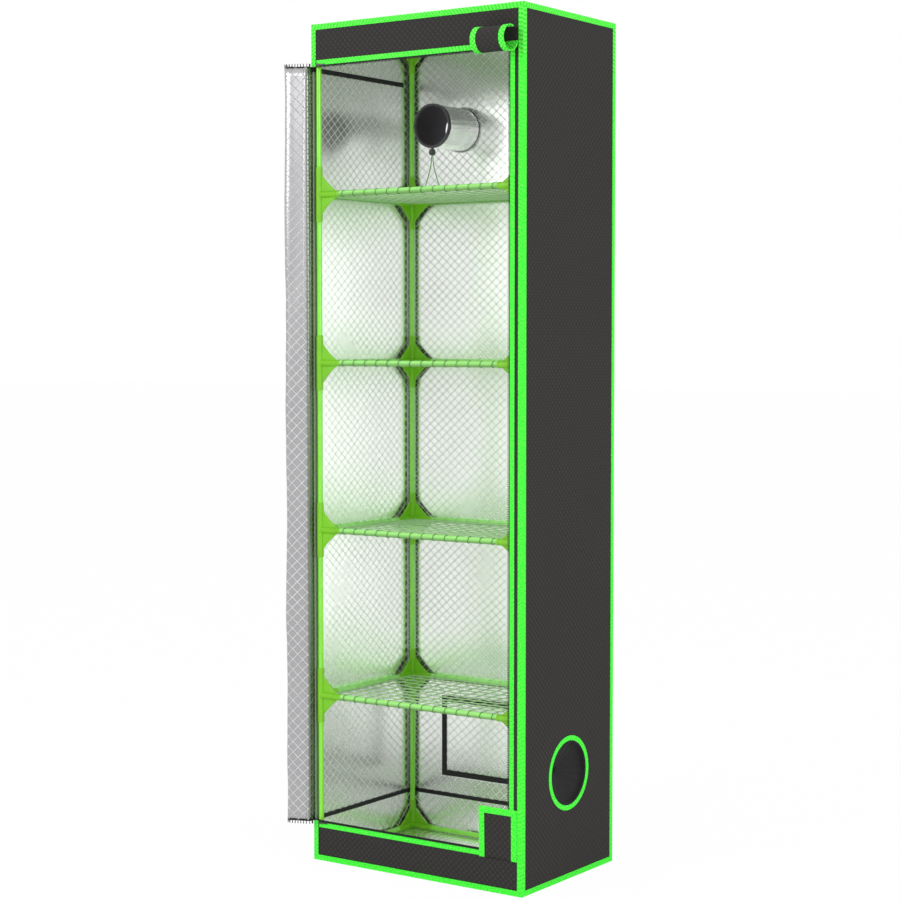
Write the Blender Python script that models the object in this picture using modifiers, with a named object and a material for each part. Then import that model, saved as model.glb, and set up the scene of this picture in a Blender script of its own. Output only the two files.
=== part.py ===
"""Indoor grow tent: a steel pole frame in a zipped fabric skin, with four net shelves.

Run it with blender --background --python part.py, or from Blender's text editor.
Metres, +Z up. The origin is on the ground under the middle of the tent, and the front is at -Y.
The door stands open, folded back round the front left corner.
"""

import math

import bmesh
import bpy
from mathutils import Matrix, Vector
from mathutils.geometry import interpolate_bezier

# Overall size and general fits
WIDTH = 0.600
DEPTH = 0.400
HEIGHT = 2.000
CLEARANCE = 0.0003
OVERRUN = 0.010
MERGE_DISTANCE = 0.00001

# Skin: laminate sheet under a sewn edge tape
SHEET = 0.0010
TAPE = 0.0008
EDGE_TAPE_WIDTH = 0.0157
BINDING_WIDTH = 0.0128
ZIP_BAND = 0.0027

# Door opening: the strip of front panel beside it, the skirt under it and the header over it
STRIP_WIDTH = 0.0378
OPENING_BOTTOM = 0.0960
HEADER_HEIGHT = 0.0995

# Open door: widths of the sewn strip and of the fold beside the corner
HINGE_STRIP = 0.0190
FOLD_STRIP = 0.0710

# Frame
ROD_RADIUS = 0.0067
TUBE_WALL = 0.0010
SLEEVE_RADIUS = 0.0085
SLEEVE_HALF_HEIGHT = 0.0655
SOCKET_RADIUS = 0.0077
ARM_LENGTH = 0.0620
SOCKET_DEPTH = 0.0300
POST_INSET = 0.0128
SHELF_HEIGHT_SHARES = (0.2, 0.4, 0.6, 0.8)
WEB_ALONG = 0.0530
WEB_UP = 0.0490
WEB_DIP = 0.0050
WEB_THICKNESS = 0.0018

# Net shelves
NET_THICKNESS = 0.0022
NET_HEM = 0.0110
NET_STRAND = 0.0036
NET_COLUMNS = 6
NET_ROWS = 4
LOOP_THICKNESS = 0.0022
LOOP_SLACK = 0.0006
LOOP_SHARES_X = (-0.5, 0.5)
LOOP_SHARES_Y = (0.0,)

# Removable floor tray
TRAY_HEIGHT = 0.1050
TRAY_HEM = 0.0100
TRAY_HEM_EXTRA = 0.0006

# Duct sleeve in the back wall
DUCT_INSET = 0.1600
DUCT_DROP = 0.2240
DUCT_RADIUS = 0.0525
DUCT_REACH = 0.1320
DUCT_FLANGE = 0.0050
MOUTH_HEM = 0.0080
MOUTH_HEM_EXTRA = 0.0018
DUCT_RING_WIDTH = 0.0140

# Cord lock and its two drawcord tails
LOCK_RADIUS = 0.0080
LOCK_LENGTH = 0.0140
LOCK_NECK_RADIUS = 0.0040
LOCK_NECK_LENGTH = 0.0025
LOCK_ROUNDING = 0.0025
CORD_RADIUS = 0.0011
CORD_POINT_SPACING = 0.0055
HANDLE_SHARE = 1 / 6

# Route of the right-hand tail: out to the side, and down from the foot of the lock
TAIL_ROUTE = (
    (0.0014, 0.0000),
    (0.0029, 0.0160),
    (0.0060, 0.0320),
    (0.0112, 0.0490),
    (0.0178, 0.0670),
    (0.0238, 0.0810),
    (0.0278, 0.0920),
)

# Vent window in the back wall
VENT_SIDE_MARGIN = 0.1000
VENT_BOTTOM = 0.1493
VENT_TOP = 0.3530
VENT_BORDER = 0.0140
VENT_BORDER_EXTRA = 0.0006

# Round port in the right wall
PORT_Z = 0.2500
PORT_RADIUS = 0.0750
PORT_RING_WIDTH = 0.0125
PORT_DEPTH = 0.0450
PORT_TUBE = 0.0180
PORT_KNOT_RADIUS = 0.0080
PORT_TAIL = 0.0120

# Flaps over the two zip corners
FLAP_INSET = 0.0138
LOWER_FLAP_WIDTH = 0.1017
LOWER_FLAP_BOTTOM = 0.0796
LOWER_FLAP_HEIGHT = 0.1170
FLAP_BINDING = 0.0145
FLAP_BINDING_EXTRA = 0.0006
ROLL_WIDTH = 0.0892
ROLL_RADIUS = 0.0285
ROLL_DROP = 0.0820
ROLL_STANDOFF = 0.0010
ROLL_SEAM_DROP = 0.0040
ROLL_START = math.radians(65.0)
ROLL_END = math.radians(352.0)

# Hook-and-loop tape along the top of the left wall
WALL_TAPE_DROP = 0.1055
WALL_TAPE_HEIGHT = 0.0110
WALL_TAPE_MARGIN = 0.0350

# Zip sliders
SLIDER_LENGTH = 0.0110
SLIDER_HEIGHT = 0.0058
SLIDER_THICKNESS = 0.0020
TAB_LENGTH = 0.0150
TAB_HEIGHT = 0.0036
TAB_THICKNESS = 0.0009
TAB_EYE_RADIUS = 0.0009
SLIDER_BEVEL = 0.0005

# Facets of the round pieces
ROUND_SIDES = 10
RING_SIDES = 32
SMALL_SIDES = 14
EYE_SIDES = 8
CORD_BEVEL_RESOLUTION = 2
WEB_STEPS = 3
ROLL_STEPS = 18
SHARP_ANGLE = math.radians(35.0)

# Planes that follow from the sizes above
HALF_WIDTH = WIDTH / 2
HALF_DEPTH = DEPTH / 2
SKIN_OUT = TAPE + CLEARANCE
SKIN_IN = SKIN_OUT + SHEET
FLOOR_TOP = SHEET
WALL_FOOT = CLEARANCE + TAPE + CLEARANCE
TRAY_FLOOR = WALL_FOOT + SHEET
FRAME_FOOT = TRAY_FLOOR + CLEARANCE
FRAME_TOP = HEIGHT - SKIN_IN - CLEARANCE
BOTTOM_LEVEL = FRAME_FOOT + SOCKET_RADIUS
TOP_LEVEL = FRAME_TOP - SOCKET_RADIUS
SHELF_HEIGHTS = tuple(share * HEIGHT for share in SHELF_HEIGHT_SHARES)
LEVELS = (BOTTOM_LEVEL, *SHELF_HEIGHTS, TOP_LEVEL)
POST_X = HALF_WIDTH - POST_INSET
POST_Y = HALF_DEPTH - POST_INSET
FRONT = -HALF_DEPTH
LEFT = -HALF_WIDTH
OPENING_RIGHT = HALF_WIDTH - STRIP_WIDTH
OPENING_TOP = HEIGHT - HEADER_HEIGHT
FLAP_RIGHT = HALF_WIDTH - FLAP_INSET
ROLL_Z = HEIGHT - ROLL_DROP
DUCT_X = LEFT + DUCT_INSET
DUCT_Z = HEIGHT - DUCT_DROP
VENT_HALF_WIDTH = HALF_WIDTH - VENT_SIDE_MARGIN
TAPE_RIGHT = OPENING_RIGHT + ZIP_BAND + CLEARANCE
TAPE_TOP = OPENING_TOP + ZIP_BAND + CLEARANCE
TAPE_BOTTOM = OPENING_BOTTOM - ZIP_BAND - CLEARANCE
EDGE_TAPE_X = HALF_WIDTH - EDGE_TAPE_WIDTH
EDGE_TAPE_Y = HALF_DEPTH - EDGE_TAPE_WIDTH

# Colours and finishes: base colour, roughness, metallic
FINISHES = {
    "oxford_fabric": ((0.040, 0.037, 0.037), 0.85, 0.0),
    "mylar_laminate": ((0.72, 0.73, 0.73), 0.28, 0.75),
    "green_binding": ((0.035, 0.95, 0.035), 0.60, 0.0),
    "green_steel": ((0.25, 0.76, 0.04), 0.35, 0.0),
    "black_zip": ((0.012, 0.012, 0.012), 0.55, 0.0),
    "slider_metal": ((0.62, 0.62, 0.60), 0.25, 1.0),
    "net_cord": ((0.48, 0.80, 0.40), 0.60, 0.0),
    "black_webbing": ((0.015, 0.015, 0.015), 0.80, 0.0),
    "dark_plastic": ((0.070, 0.070, 0.068), 0.45, 0.0),
    "drawcord": ((0.22, 0.36, 0.18), 0.70, 0.0),
}


# Turns that lay a shape made along Z along another axis, with a corner of its section at the top
TURNS = {"x": (0, math.pi / 2, 0), "y": (0, math.pi / 2, math.pi / 2), "z": (0, 0, 0)}


def clear_scene():
    for thing in list(bpy.data.objects):
        bpy.data.objects.remove(thing, do_unlink=True)


def collection(name, hidden=False):
    made = bpy.data.collections.new(name)
    bpy.context.scene.collection.children.link(made)
    made.hide_render = hidden
    return made


def material(name):
    colour, roughness, metallic = FINISHES[name]
    made = bpy.data.materials.new(name)
    made.use_nodes = True
    made.diffuse_color = (*colour, 1.0)
    shader = made.node_tree.nodes["Principled BSDF"]
    shader.inputs["Base Color"].default_value = (*colour, 1.0)
    shader.inputs["Roughness"].default_value = roughness
    shader.inputs["Metallic"].default_value = metallic
    return made


def move_to(thing, target):
    for holder in list(thing.users_collection):
        holder.objects.unlink(thing)
    target.objects.link(thing)


def finish(thing, name, finish_name, smooth=False):
    """Names a sub-part, gives it its material and files it with the tent."""
    thing.name = name
    thing.data.name = name
    thing.data.materials.clear()
    thing.data.materials.append(MATERIALS[finish_name])
    if smooth:
        thing.data.shade_smooth()
        thing.data.set_sharp_from_angle(angle=SHARP_ANGLE)
    move_to(thing, PARTS)
    return thing


def helper(thing, name):
    """Files a cutter or a shape that a Boolean joins."""
    thing.name = name
    thing.hide_render = True
    thing.display_type = "WIRE"
    move_to(thing, HELPERS)
    return thing


def boolean(thing, other, operation):
    change = thing.modifiers.new(f"{operation.lower()} {other.name}", "BOOLEAN")
    change.operation = operation
    change.solver = "EXACT"
    change.object = other


def set_origin(thing, point):
    """Moves an untransformed object's origin to a point and leaves its shape where it is."""
    shift = Vector(point) - thing.location
    thing.data.transform(Matrix.Translation(-shift))
    thing.location = point


def box(low, high):
    """A block between two corners, from the cube primitive."""
    low, high = Vector(low), Vector(high)
    bpy.ops.mesh.primitive_cube_add(size=1.0, location=(low + high) / 2)
    made = bpy.context.object
    made.scale = high - low
    bpy.ops.object.transform_apply(location=False, rotation=False, scale=True)
    return made


def cylinder(radius, depth, sides, centre, axis):
    """A round bar from the cylinder primitive, along x, y or z."""
    bpy.ops.mesh.primitive_cylinder_add(
        vertices=sides, radius=radius, depth=depth, location=centre, rotation=TURNS[axis]
    )
    made = bpy.context.object
    bpy.ops.object.transform_apply(location=False, rotation=True, scale=False)
    return made


def mesh_object(name, points, edges=(), faces=()):
    data = bpy.data.meshes.new(name)
    data.from_pydata(points, edges, faces)
    made = bpy.data.objects.new(name, data)
    PARTS.objects.link(made)
    return made


def turned(name, profile, sides, closed):
    """A profile of (radius, height) turned about Z. It runs down its outer side, and a closed one is a ring."""
    points = [(radius, 0, height) for radius, height in profile]
    edges = [(i, i + 1) for i in range(len(points) - 1)]
    if closed:
        edges.append((len(points) - 1, 0))
    made = mesh_object(name, points, edges)
    screw = made.modifiers.new("turn", "SCREW")
    screw.steps = sides
    screw.render_steps = sides
    screw.use_merge_vertices = True
    screw.merge_threshold = MERGE_DISTANCE
    screw.use_smooth_shade = False
    return made


def applied(thing):
    """The object with its modifiers, or its curve, made a plain welded mesh."""
    bpy.context.view_layer.update()
    graph = bpy.context.evaluated_depsgraph_get()
    data = bpy.data.meshes.new_from_object(thing.evaluated_get(graph))
    work = bmesh.new()
    work.from_mesh(data)
    bmesh.ops.remove_doubles(work, verts=work.verts, dist=MERGE_DISTANCE)
    work.to_mesh(data)
    work.free()
    made = bpy.data.objects.new(thing.name, data)
    made.matrix_world = thing.matrix_world.copy()
    PARTS.objects.link(made)
    bpy.data.objects.remove(thing, do_unlink=True)
    return made


def tube(name, radius, bore, length, sides, centre, axis):
    """A tube, or a solid bar where bore is 0, turned about its own middle and laid along x, y or z."""
    half = length / 2
    profile = [(bore, half), (radius, half), (radius, -half), (bore, -half)]
    made = turned(name, profile, sides, closed=bore > 0)
    made.rotation_euler = TURNS[axis]
    made.location = centre
    return applied(made)


def cord(name, points, radius, resolution):
    """A cord as a bevelled curve with filled caps."""
    data = bpy.data.curves.new(name, "CURVE")
    data.dimensions = "3D"
    data.bevel_depth = radius
    data.bevel_resolution = resolution
    data.use_fill_caps = True
    spline = data.splines.new("POLY")
    spline.points.add(len(points) - 1)
    for place, point in zip(spline.points, points):
        place.co = (*point, 1)
    made = bpy.data.objects.new(name, data)
    PARTS.objects.link(made)
    return made


def flat_shape(name, outlines, thickness):
    """A flat plate from closed outlines in the XY plane. Outlines inside the first are holes."""
    data = bpy.data.curves.new(name, "CURVE")
    data.dimensions = "2D"
    data.fill_mode = "BOTH"
    data.extrude = thickness / 2
    for outline in outlines:
        spline = data.splines.new("POLY")
        spline.points.add(len(outline) - 1)
        spline.use_cyclic_u = True
        for place, (x, y) in zip(spline.points, outline):
            place.co = (x, y, 0, 1)
    made = bpy.data.objects.new(name, data)
    PARTS.objects.link(made)
    return made


# Skin


def add_walls():
    """Side, back, roof and floor sheets, each with the holes that its fittings need."""
    x_out, x_in = HALF_WIDTH - SKIN_OUT, HALF_WIDTH - SKIN_IN
    y_out, y_in = HALF_DEPTH - SKIN_OUT, HALF_DEPTH - SKIN_IN
    top = HEIGHT - SKIN_OUT
    side_y = y_in - CLEARANCE
    left = box((-x_out, -side_y, WALL_FOOT), (-x_in, side_y, top))
    finish(left, "left_wall", "oxford_fabric")
    right = box((x_in, -side_y, WALL_FOOT), (x_out, side_y, top))
    port = cylinder(PORT_RADIUS, SHEET + OVERRUN, RING_SIDES, (x_out, 0, PORT_Z), "x")
    boolean(right, helper(port, "port hole"), "DIFFERENCE")
    finish(right, "right_wall", "oxford_fabric")
    back = box((-x_out, y_in, WALL_FOOT), (x_out, y_out, top))
    duct_hole = DUCT_RADIUS + CLEARANCE
    hole = cylinder(duct_hole, SHEET + OVERRUN, RING_SIDES, (DUCT_X, y_out, DUCT_Z), "y")
    boolean(back, helper(hole, "duct hole"), "DIFFERENCE")
    window = box((-VENT_HALF_WIDTH + VENT_BORDER, y_in - OVERRUN, VENT_BOTTOM + VENT_BORDER),
                 (VENT_HALF_WIDTH - VENT_BORDER, y_out + OVERRUN, VENT_TOP - VENT_BORDER))
    boolean(back, helper(window, "vent window"), "DIFFERENCE")
    finish(back, "back_wall", "oxford_fabric")
    roof = box((-x_in + CLEARANCE, -side_y, HEIGHT - SKIN_IN), (x_in - CLEARANCE, side_y, top))
    finish(roof, "roof_panel", "oxford_fabric")
    floor_x, floor_y = EDGE_TAPE_X - CLEARANCE, EDGE_TAPE_Y - CLEARANCE
    floor = box((-floor_x, -floor_y, 0), (floor_x, floor_y, FLOOR_TOP))
    finish(floor, "floor_panel", "oxford_fabric")


def add_front_panel():
    """Header, right-hand strip and skirt in one sheet, open to the left corner."""
    x_out = HALF_WIDTH - SKIN_OUT
    face, inside = FRONT + SKIN_OUT, FRONT + SKIN_IN
    panel = box((-x_out, face, WALL_FOOT), (x_out, inside, HEIGHT - SKIN_OUT))
    opening = box((-x_out - OVERRUN, face - OVERRUN, OPENING_BOTTOM),
                  (OPENING_RIGHT, inside + OVERRUN, OPENING_TOP))
    boolean(panel, helper(opening, "door opening"), "DIFFERENCE")
    finish(panel, "front_panel", "oxford_fabric")


def add_edge_binding():
    """Tape folded over all twelve edges: a thin box with a window in each face."""
    tape = box((-HALF_WIDTH, -HALF_DEPTH, CLEARANCE), (HALF_WIDTH, HALF_DEPTH, HEIGHT))
    inner_x, inner_y = HALF_WIDTH - TAPE, HALF_DEPTH - TAPE
    inside = box((-inner_x, -inner_y, CLEARANCE + TAPE), (inner_x, inner_y, HEIGHT - TAPE))
    low, high = CLEARANCE + EDGE_TAPE_WIDTH, HEIGHT - EDGE_TAPE_WIDTH
    far_x, far_y = HALF_WIDTH + OVERRUN, HALF_DEPTH + OVERRUN
    across = box((-far_x, -EDGE_TAPE_Y, low), (far_x, EDGE_TAPE_Y, high))
    along = box((-EDGE_TAPE_X, -far_y, low), (EDGE_TAPE_X, far_y, high))
    upright = box((-EDGE_TAPE_X, -EDGE_TAPE_Y, -OVERRUN), (EDGE_TAPE_X, EDGE_TAPE_Y, HEIGHT + OVERRUN))
    door_gap = box((-inner_x, FRONT - OVERRUN, OPENING_BOTTOM),
                   (-EDGE_TAPE_X + OVERRUN, -inner_y + CLEARANCE, OPENING_TOP))
    cutters = {"tape inside": inside, "tape windows across": across, "tape windows along": along,
               "tape windows upright": upright, "tape gap at the door": door_gap}
    for name, cutter in cutters.items():
        boolean(tape, helper(cutter, name), "DIFFERENCE")
    finish(tape, "edge_binding", "green_binding")


def c_band(name, inner, width, finish_name):
    """A flat C-shaped band round the door opening: inner edges (right, bottom, top) and a width."""
    right, bottom, top = inner
    left = -EDGE_TAPE_X + CLEARANCE
    far, low, high = right + width, bottom - width, top + width
    outline = [(left, low), (far, low), (far, high), (left, high),
               (left, top), (right, top), (right, bottom), (left, bottom)]
    band = flat_shape(name, [outline], TAPE)
    band.rotation_euler = (math.pi / 2, 0, 0)
    band.location = (0, FRONT + TAPE / 2, 0)
    return finish_curve(band, name, finish_name)


def finish_curve(curve, name, finish_name, smooth=False):
    return finish(applied(curve), name, finish_name, smooth)


def add_opening_trim():
    """The green tape and the fixed half of the zip round the door opening."""
    seam, edge = (TAPE_RIGHT, TAPE_BOTTOM, TAPE_TOP), (OPENING_RIGHT, OPENING_BOTTOM, OPENING_TOP)
    c_band("opening_binding", seam, BINDING_WIDTH, "green_binding")
    c_band("zip_track", edge, ZIP_BAND, "black_zip")


# Door


def add_door():
    """Three strips of one sheet, joined by upright folds, in their folded-back place."""
    low, high = OPENING_BOTTOM + CLEARANCE, OPENING_TOP - CLEARANCE
    hinge_x = LEFT + SKIN_OUT + SHEET / 2 + CLEARANCE
    hinge_y = FRONT + SKIN_OUT + SHEET / 2
    panel_width = OPENING_RIGHT - CLEARANCE - hinge_x - HINGE_STRIP - FOLD_STRIP
    fold_y = hinge_y - HINGE_STRIP
    turn_x = hinge_x - FOLD_STRIP
    half, gap = SHEET / 2, SHEET / 2 + CLEARANCE
    strip_low, strip_high = (hinge_x - half, fold_y + half, low), (hinge_x + half, hinge_y - gap, high)
    hinge_strip = box(strip_low, strip_high)
    set_origin(hinge_strip, (hinge_x, hinge_y, low))
    finish(hinge_strip, "door_hinge_strip", "mylar_laminate")
    fold_strip = box((turn_x + half, fold_y - half, low), (hinge_x - gap, fold_y + half, high))
    set_origin(fold_strip, (hinge_x, fold_y, low))
    finish(fold_strip, "door_fold_strip", "mylar_laminate")
    panel = box((turn_x - half, fold_y + gap, low), (turn_x + half, fold_y + panel_width, high))
    set_origin(panel, (turn_x, fold_y, low))
    finish(panel, "door_panel", "mylar_laminate")
    for strip, holder in ((fold_strip, hinge_strip), (panel, fold_strip)):
        strip.parent = holder
        strip.matrix_parent_inverse = Matrix.Translation(holder.location).inverted()
    for name, x, y in (("hinge", hinge_x, hinge_y), ("fold", hinge_x, fold_y), ("turn", turn_x, fold_y)):
        print(f"door {name} at x {x:.5f}, y {y:.5f}")


def add_slider(name, base_z, up):
    """A zip slider parked at the door's hinge, with its pull tab lying along the tape."""
    face = FRONT - CLEARANCE
    low_x = -EDGE_TAPE_X + CLEARANCE
    low_z, high_z = sorted((base_z, base_z + up * SLIDER_HEIGHT))
    end_x = low_x + SLIDER_LENGTH
    body = box((low_x, face - SLIDER_THICKNESS, low_z), (end_x, face, high_z))
    rounding = body.modifiers.new("rounded edges", "BEVEL")
    rounding.width = SLIDER_BEVEL
    rounding.segments = 1
    body = applied(body)
    mid_x, mid_z = (low_x + end_x) / 2, (low_z + high_z) / 2
    half_y, half_z = TAB_THICKNESS / 2, TAB_HEIGHT / 2
    tab_y, tab_end = face - SLIDER_THICKNESS / 2, end_x + TAB_LENGTH
    tab = box((mid_x, tab_y - half_y, mid_z - half_z), (tab_end, tab_y + half_y, mid_z + half_z))
    boolean(body, helper(tab, f"{name} tab"), "UNION")
    eye = cylinder(TAB_EYE_RADIUS, OVERRUN, EYE_SIDES, (tab_end - half_z, face, mid_z), "y")
    boolean(body, helper(eye, f"{name} eye"), "DIFFERENCE")
    finish(body, name, "slider_metal")


# Frame


def web_outline(up_side, down_side):
    """The gusset plate of one socket arm, in the plane of the arm (x) and the post (y)."""
    points = []
    for share in [step / WEB_STEPS for step in range(WEB_STEPS + 1)]:
        dip = WEB_DIP * math.sin(math.pi * share)
        along, rise = WEB_ALONG * share, WEB_UP * (1 - share)
        points.append((max(along - dip * WEB_UP / WEB_ALONG, 0), max(rise - dip, 0)))
    lift = SOCKET_RADIUS / 2
    flat = [(0, 0), (WEB_ALONG, 0)]
    upper = [(x, y + lift) for x, y in points] if up_side else flat
    lower = [(x, -y - lift) for x, y in reversed(points)] if down_side else flat[::-1]
    outline = upper + lower
    return [point for i, point in enumerate(outline) if point != outline[i - 1]]


def post_profile():
    """Radius and height down the outside of the post: a sleeve at each level."""
    profile = [(0, FRAME_TOP)]
    for level in reversed(LEVELS):
        high = min(level + SLEEVE_HALF_HEIGHT, FRAME_TOP)
        low = max(level - SLEEVE_HALF_HEIGHT, FRAME_FOOT)
        if high < FRAME_TOP:
            profile.append((ROD_RADIUS, high))
        profile += [(SLEEVE_RADIUS, high), (SLEEVE_RADIUS, low)]
        if low > FRAME_FOOT:
            profile.append((ROD_RADIUS, low))
    return profile + [(0, FRAME_FOOT)]


def corner_post():
    """One post with its six corner connectors: sleeves, two socket arms each, and gusset webs."""
    post = turned("post", post_profile(), ROUND_SIDES, closed=False)
    bore_end = ARM_LENGTH - SOCKET_DEPTH
    for number, level in enumerate(LEVELS):
        outline = web_outline(number < len(LEVELS) - 1, number > 0)
        for axis in "xy":
            arm = socket_arm("arm", SOCKET_RADIUS, 0, ARM_LENGTH, level, axis)
            boolean(post, helper(arm, f"arm {number} {axis}"), "UNION")
            web = flat_shape("web", [outline], WEB_THICKNESS)
            web.rotation_euler = (math.pi / 2, 0, 0 if axis == "x" else math.pi / 2)
            web.location = (0, 0, level)
            boolean(post, helper(applied(web), f"web {number} {axis}"), "UNION")
    for number, level in enumerate(LEVELS):
        for axis in "xy":
            radius, end = ROD_RADIUS + CLEARANCE, ARM_LENGTH + OVERRUN
            socket = socket_arm("socket", radius, bore_end, end, level, axis)
            boolean(post, helper(socket, f"socket {number} {axis}"), "DIFFERENCE")
    radius, middle = ROD_RADIUS - TUBE_WALL, (0, 0, HEIGHT / 2)
    bore = tube("bore", radius, 0, HEIGHT + OVERRUN, ROUND_SIDES, middle, "z")
    boolean(post, helper(bore, "post bore"), "DIFFERENCE")
    return applied(post)


def socket_arm(name, radius, start, end, level, axis):
    """A bar that points from the post's middle line along x or y, between two distances."""
    direction = Vector((1, 0, 0)) if axis == "x" else Vector((0, 1, 0))
    centre = direction * (start + end) / 2 + Vector((0, 0, level))
    return tube(name, radius, 0, end - start, ROUND_SIDES, centre, axis)


def add_posts():
    """Four posts from one mesh, each turned so that its arms point along its two walls."""
    first = corner_post()
    places = (("front_left_post", -POST_X, -POST_Y), ("front_right_post", POST_X, -POST_Y),
              ("back_right_post", POST_X, POST_Y), ("back_left_post", -POST_X, POST_Y))
    for quarter, (name, x, y) in enumerate(places):
        post = first if quarter == 0 else bpy.data.objects.new(name, first.data)
        if quarter == 0:
            finish(post, name, "green_steel", smooth=True)
        else:
            PARTS.objects.link(post)
        post.location = (x, y, 0)
        post.rotation_euler = (0, 0, quarter * math.pi / 2)


def add_rods():
    """Four rods at each level, their ends seated in the sockets."""
    seat = ARM_LENGTH - SOCKET_DEPTH + CLEARANCE
    for number, level in enumerate(LEVELS, 1):
        rods = {
            f"front_rod_{number}": (2 * (POST_X - seat), (0, -POST_Y, level), "x"),
            f"back_rod_{number}": (2 * (POST_X - seat), (0, POST_Y, level), "x"),
            f"left_rod_{number}": (2 * (POST_Y - seat), (-POST_X, 0, level), "y"),
            f"right_rod_{number}": (2 * (POST_Y - seat), (POST_X, 0, level), "y"),
        }
        for name, (length, centre, axis) in rods.items():
            bore = ROD_RADIUS - TUBE_WALL
            rod = tube(name, ROD_RADIUS, bore, length, ROUND_SIDES, centre, axis)
            finish(rod, name, "green_steel", smooth=True)


# Net shelves and mesh


def clipped(outline, axis, limit, sign):
    """The part of a convex outline where sign * coordinate is at most sign * limit."""
    kept = []
    for i, point in enumerate(outline):
        before = outline[i - 1]
        inside, was_inside = sign * point[axis] <= sign * limit, sign * before[axis] <= sign * limit
        if inside != was_inside:
            share = (limit - before[axis]) / (point[axis] - before[axis])
            kept.append(tuple(b + (p - b) * share for b, p in zip(before, point)))
        if inside:
            kept.append(point)
    return kept


def net_gaps(inner_x, inner_y):
    """The diamond gaps between crossing diagonal strands, and the half gaps along the hem."""
    pitch_x, pitch_y = 2 * inner_x / NET_COLUMNS, 2 * inner_y / NET_ROWS
    shrink = 1 - NET_STRAND / 2 * math.hypot(2 / pitch_x, 2 / pitch_y)
    reach_x, reach_y = shrink * pitch_x / 2, shrink * pitch_y / 2
    gaps = []
    for i in range(2 * NET_COLUMNS + 1):
        for j in range(2 * NET_ROWS + 1):
            if (i + j) % 2:
                continue
            x, y = -inner_x + i * pitch_x / 2, -inner_y + j * pitch_y / 2
            gap = [(x - reach_x, y), (x, y - reach_y), (x + reach_x, y), (x, y + reach_y)]
            for axis, limit in ((0, inner_x), (1, inner_y)):
                gap = clipped(clipped(gap, axis, limit, 1), axis, -limit, -1)
            gaps.append(gap)
    return gaps


def net_shelf():
    """One net at height 0: a hemmed plate of diagonal strands, with cord loops round the four rods."""
    arm_edge = SOCKET_RADIUS + CLEARANCE
    half_x, half_y, half_z = POST_X - arm_edge, POST_Y - arm_edge, NET_THICKNESS / 2
    net = box((-half_x, -half_y, -half_z), (half_x, half_y, half_z))
    inner, half = ROD_RADIUS + LOOP_SLACK, LOOP_THICKNESS / 2
    profile = [(inner, half), (inner + LOOP_THICKNESS, 0), (inner, -half)]
    reach_x, reach_y = POST_X - ARM_LENGTH, POST_Y - ARM_LENGTH
    places = [("x", share * reach_x, side * POST_Y) for side in (-1, 1) for share in LOOP_SHARES_X]
    places += [("y", side * POST_X, share * reach_y) for side in (-1, 1) for share in LOOP_SHARES_Y]
    for number, (axis, x, y) in enumerate(places, 1):
        loop = turned("loop", profile, ROUND_SIDES, closed=True)
        loop.rotation_euler = TURNS[axis]
        loop.location = (x, y, 0)
        boolean(net, helper(applied(loop), f"loop {number}"), "UNION")
    gaps = flat_shape("gaps", net_gaps(half_x - NET_HEM, half_y - NET_HEM), OVERRUN)
    boolean(net, helper(applied(gaps), "net gaps"), "DIFFERENCE")
    return applied(net)


def add_nets():
    """Four net shelves from one mesh, each laced to the rods of its level."""
    first = net_shelf()
    for number, level in enumerate(SHELF_HEIGHTS, 1):
        name = f"net_shelf_{number}"
        net = first if number == 1 else bpy.data.objects.new(name, first.data)
        if number == 1:
            finish(net, name, "net_cord")
        else:
            PARTS.objects.link(net)
        net.location = (0, 0, level)


# Fittings


def add_tray():
    """A shallow open box of lining sheet under the frame, with a thicker hem at its rim."""
    out_x, out_y = HALF_WIDTH - SKIN_IN - CLEARANCE, HALF_DEPTH - SKIN_IN - CLEARANCE
    tray = box((-out_x, -out_y, WALL_FOOT), (out_x, out_y, TRAY_HEIGHT))
    hem_x, hem_y = out_x - SHEET - TRAY_HEM_EXTRA, out_y - SHEET - TRAY_HEM_EXTRA
    in_x, in_y, hem_z = out_x - SHEET, out_y - SHEET, TRAY_HEIGHT - TRAY_HEM
    inside = box((-in_x, -in_y, TRAY_FLOOR), (in_x, in_y, hem_z))
    rim = box((-hem_x, -hem_y, hem_z - OVERRUN), (hem_x, hem_y, TRAY_HEIGHT + OVERRUN))
    boolean(tray, helper(inside, "tray inside"), "DIFFERENCE")
    boolean(tray, helper(rim, "tray rim"), "DIFFERENCE")
    finish(tray, "floor_tray", "mylar_laminate")


def add_duct_sleeve():
    """A cloth tube through the back wall, with a sewn flange inside and a hemmed mouth."""
    mouth = DUCT_REACH + SKIN_IN - HALF_DEPTH
    wall, outside = SKIN_IN + CLEARANCE - HALF_DEPTH, -HALF_DEPTH
    flange_z, hem_z = wall + SHEET, mouth - MOUTH_HEM
    outer, inner = DUCT_RADIUS, DUCT_RADIUS - SHEET
    hem, flange = outer + MOUTH_HEM_EXTRA, outer + DUCT_FLANGE
    profile = [(hem, mouth), (hem, hem_z), (outer, hem_z - MOUTH_HEM_EXTRA), (outer, flange_z),
               (flange, flange_z), (flange, wall), (outer, wall), (outer, outside),
               (inner, outside), (inner, mouth)]
    sleeve = turned("duct_sleeve", profile, RING_SIDES, closed=True)
    sleeve.rotation_euler = (math.pi / 2, 0, 0)
    sleeve.location = (DUCT_X, 0, DUCT_Z)
    finish(applied(sleeve), "duct_sleeve", "mylar_laminate", smooth=True)
    ring_in = DUCT_RADIUS + CLEARANCE
    section = ring_profile(ring_in, ring_in + DUCT_RING_WIDTH)
    ring = turned("duct_ring", section, RING_SIDES, closed=True)
    ring.rotation_euler = (-math.pi / 2, 0, 0)
    ring.location = (DUCT_X, HALF_DEPTH - TAPE, DUCT_Z)
    finish(applied(ring), "duct_ring", "green_binding", smooth=True)


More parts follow.
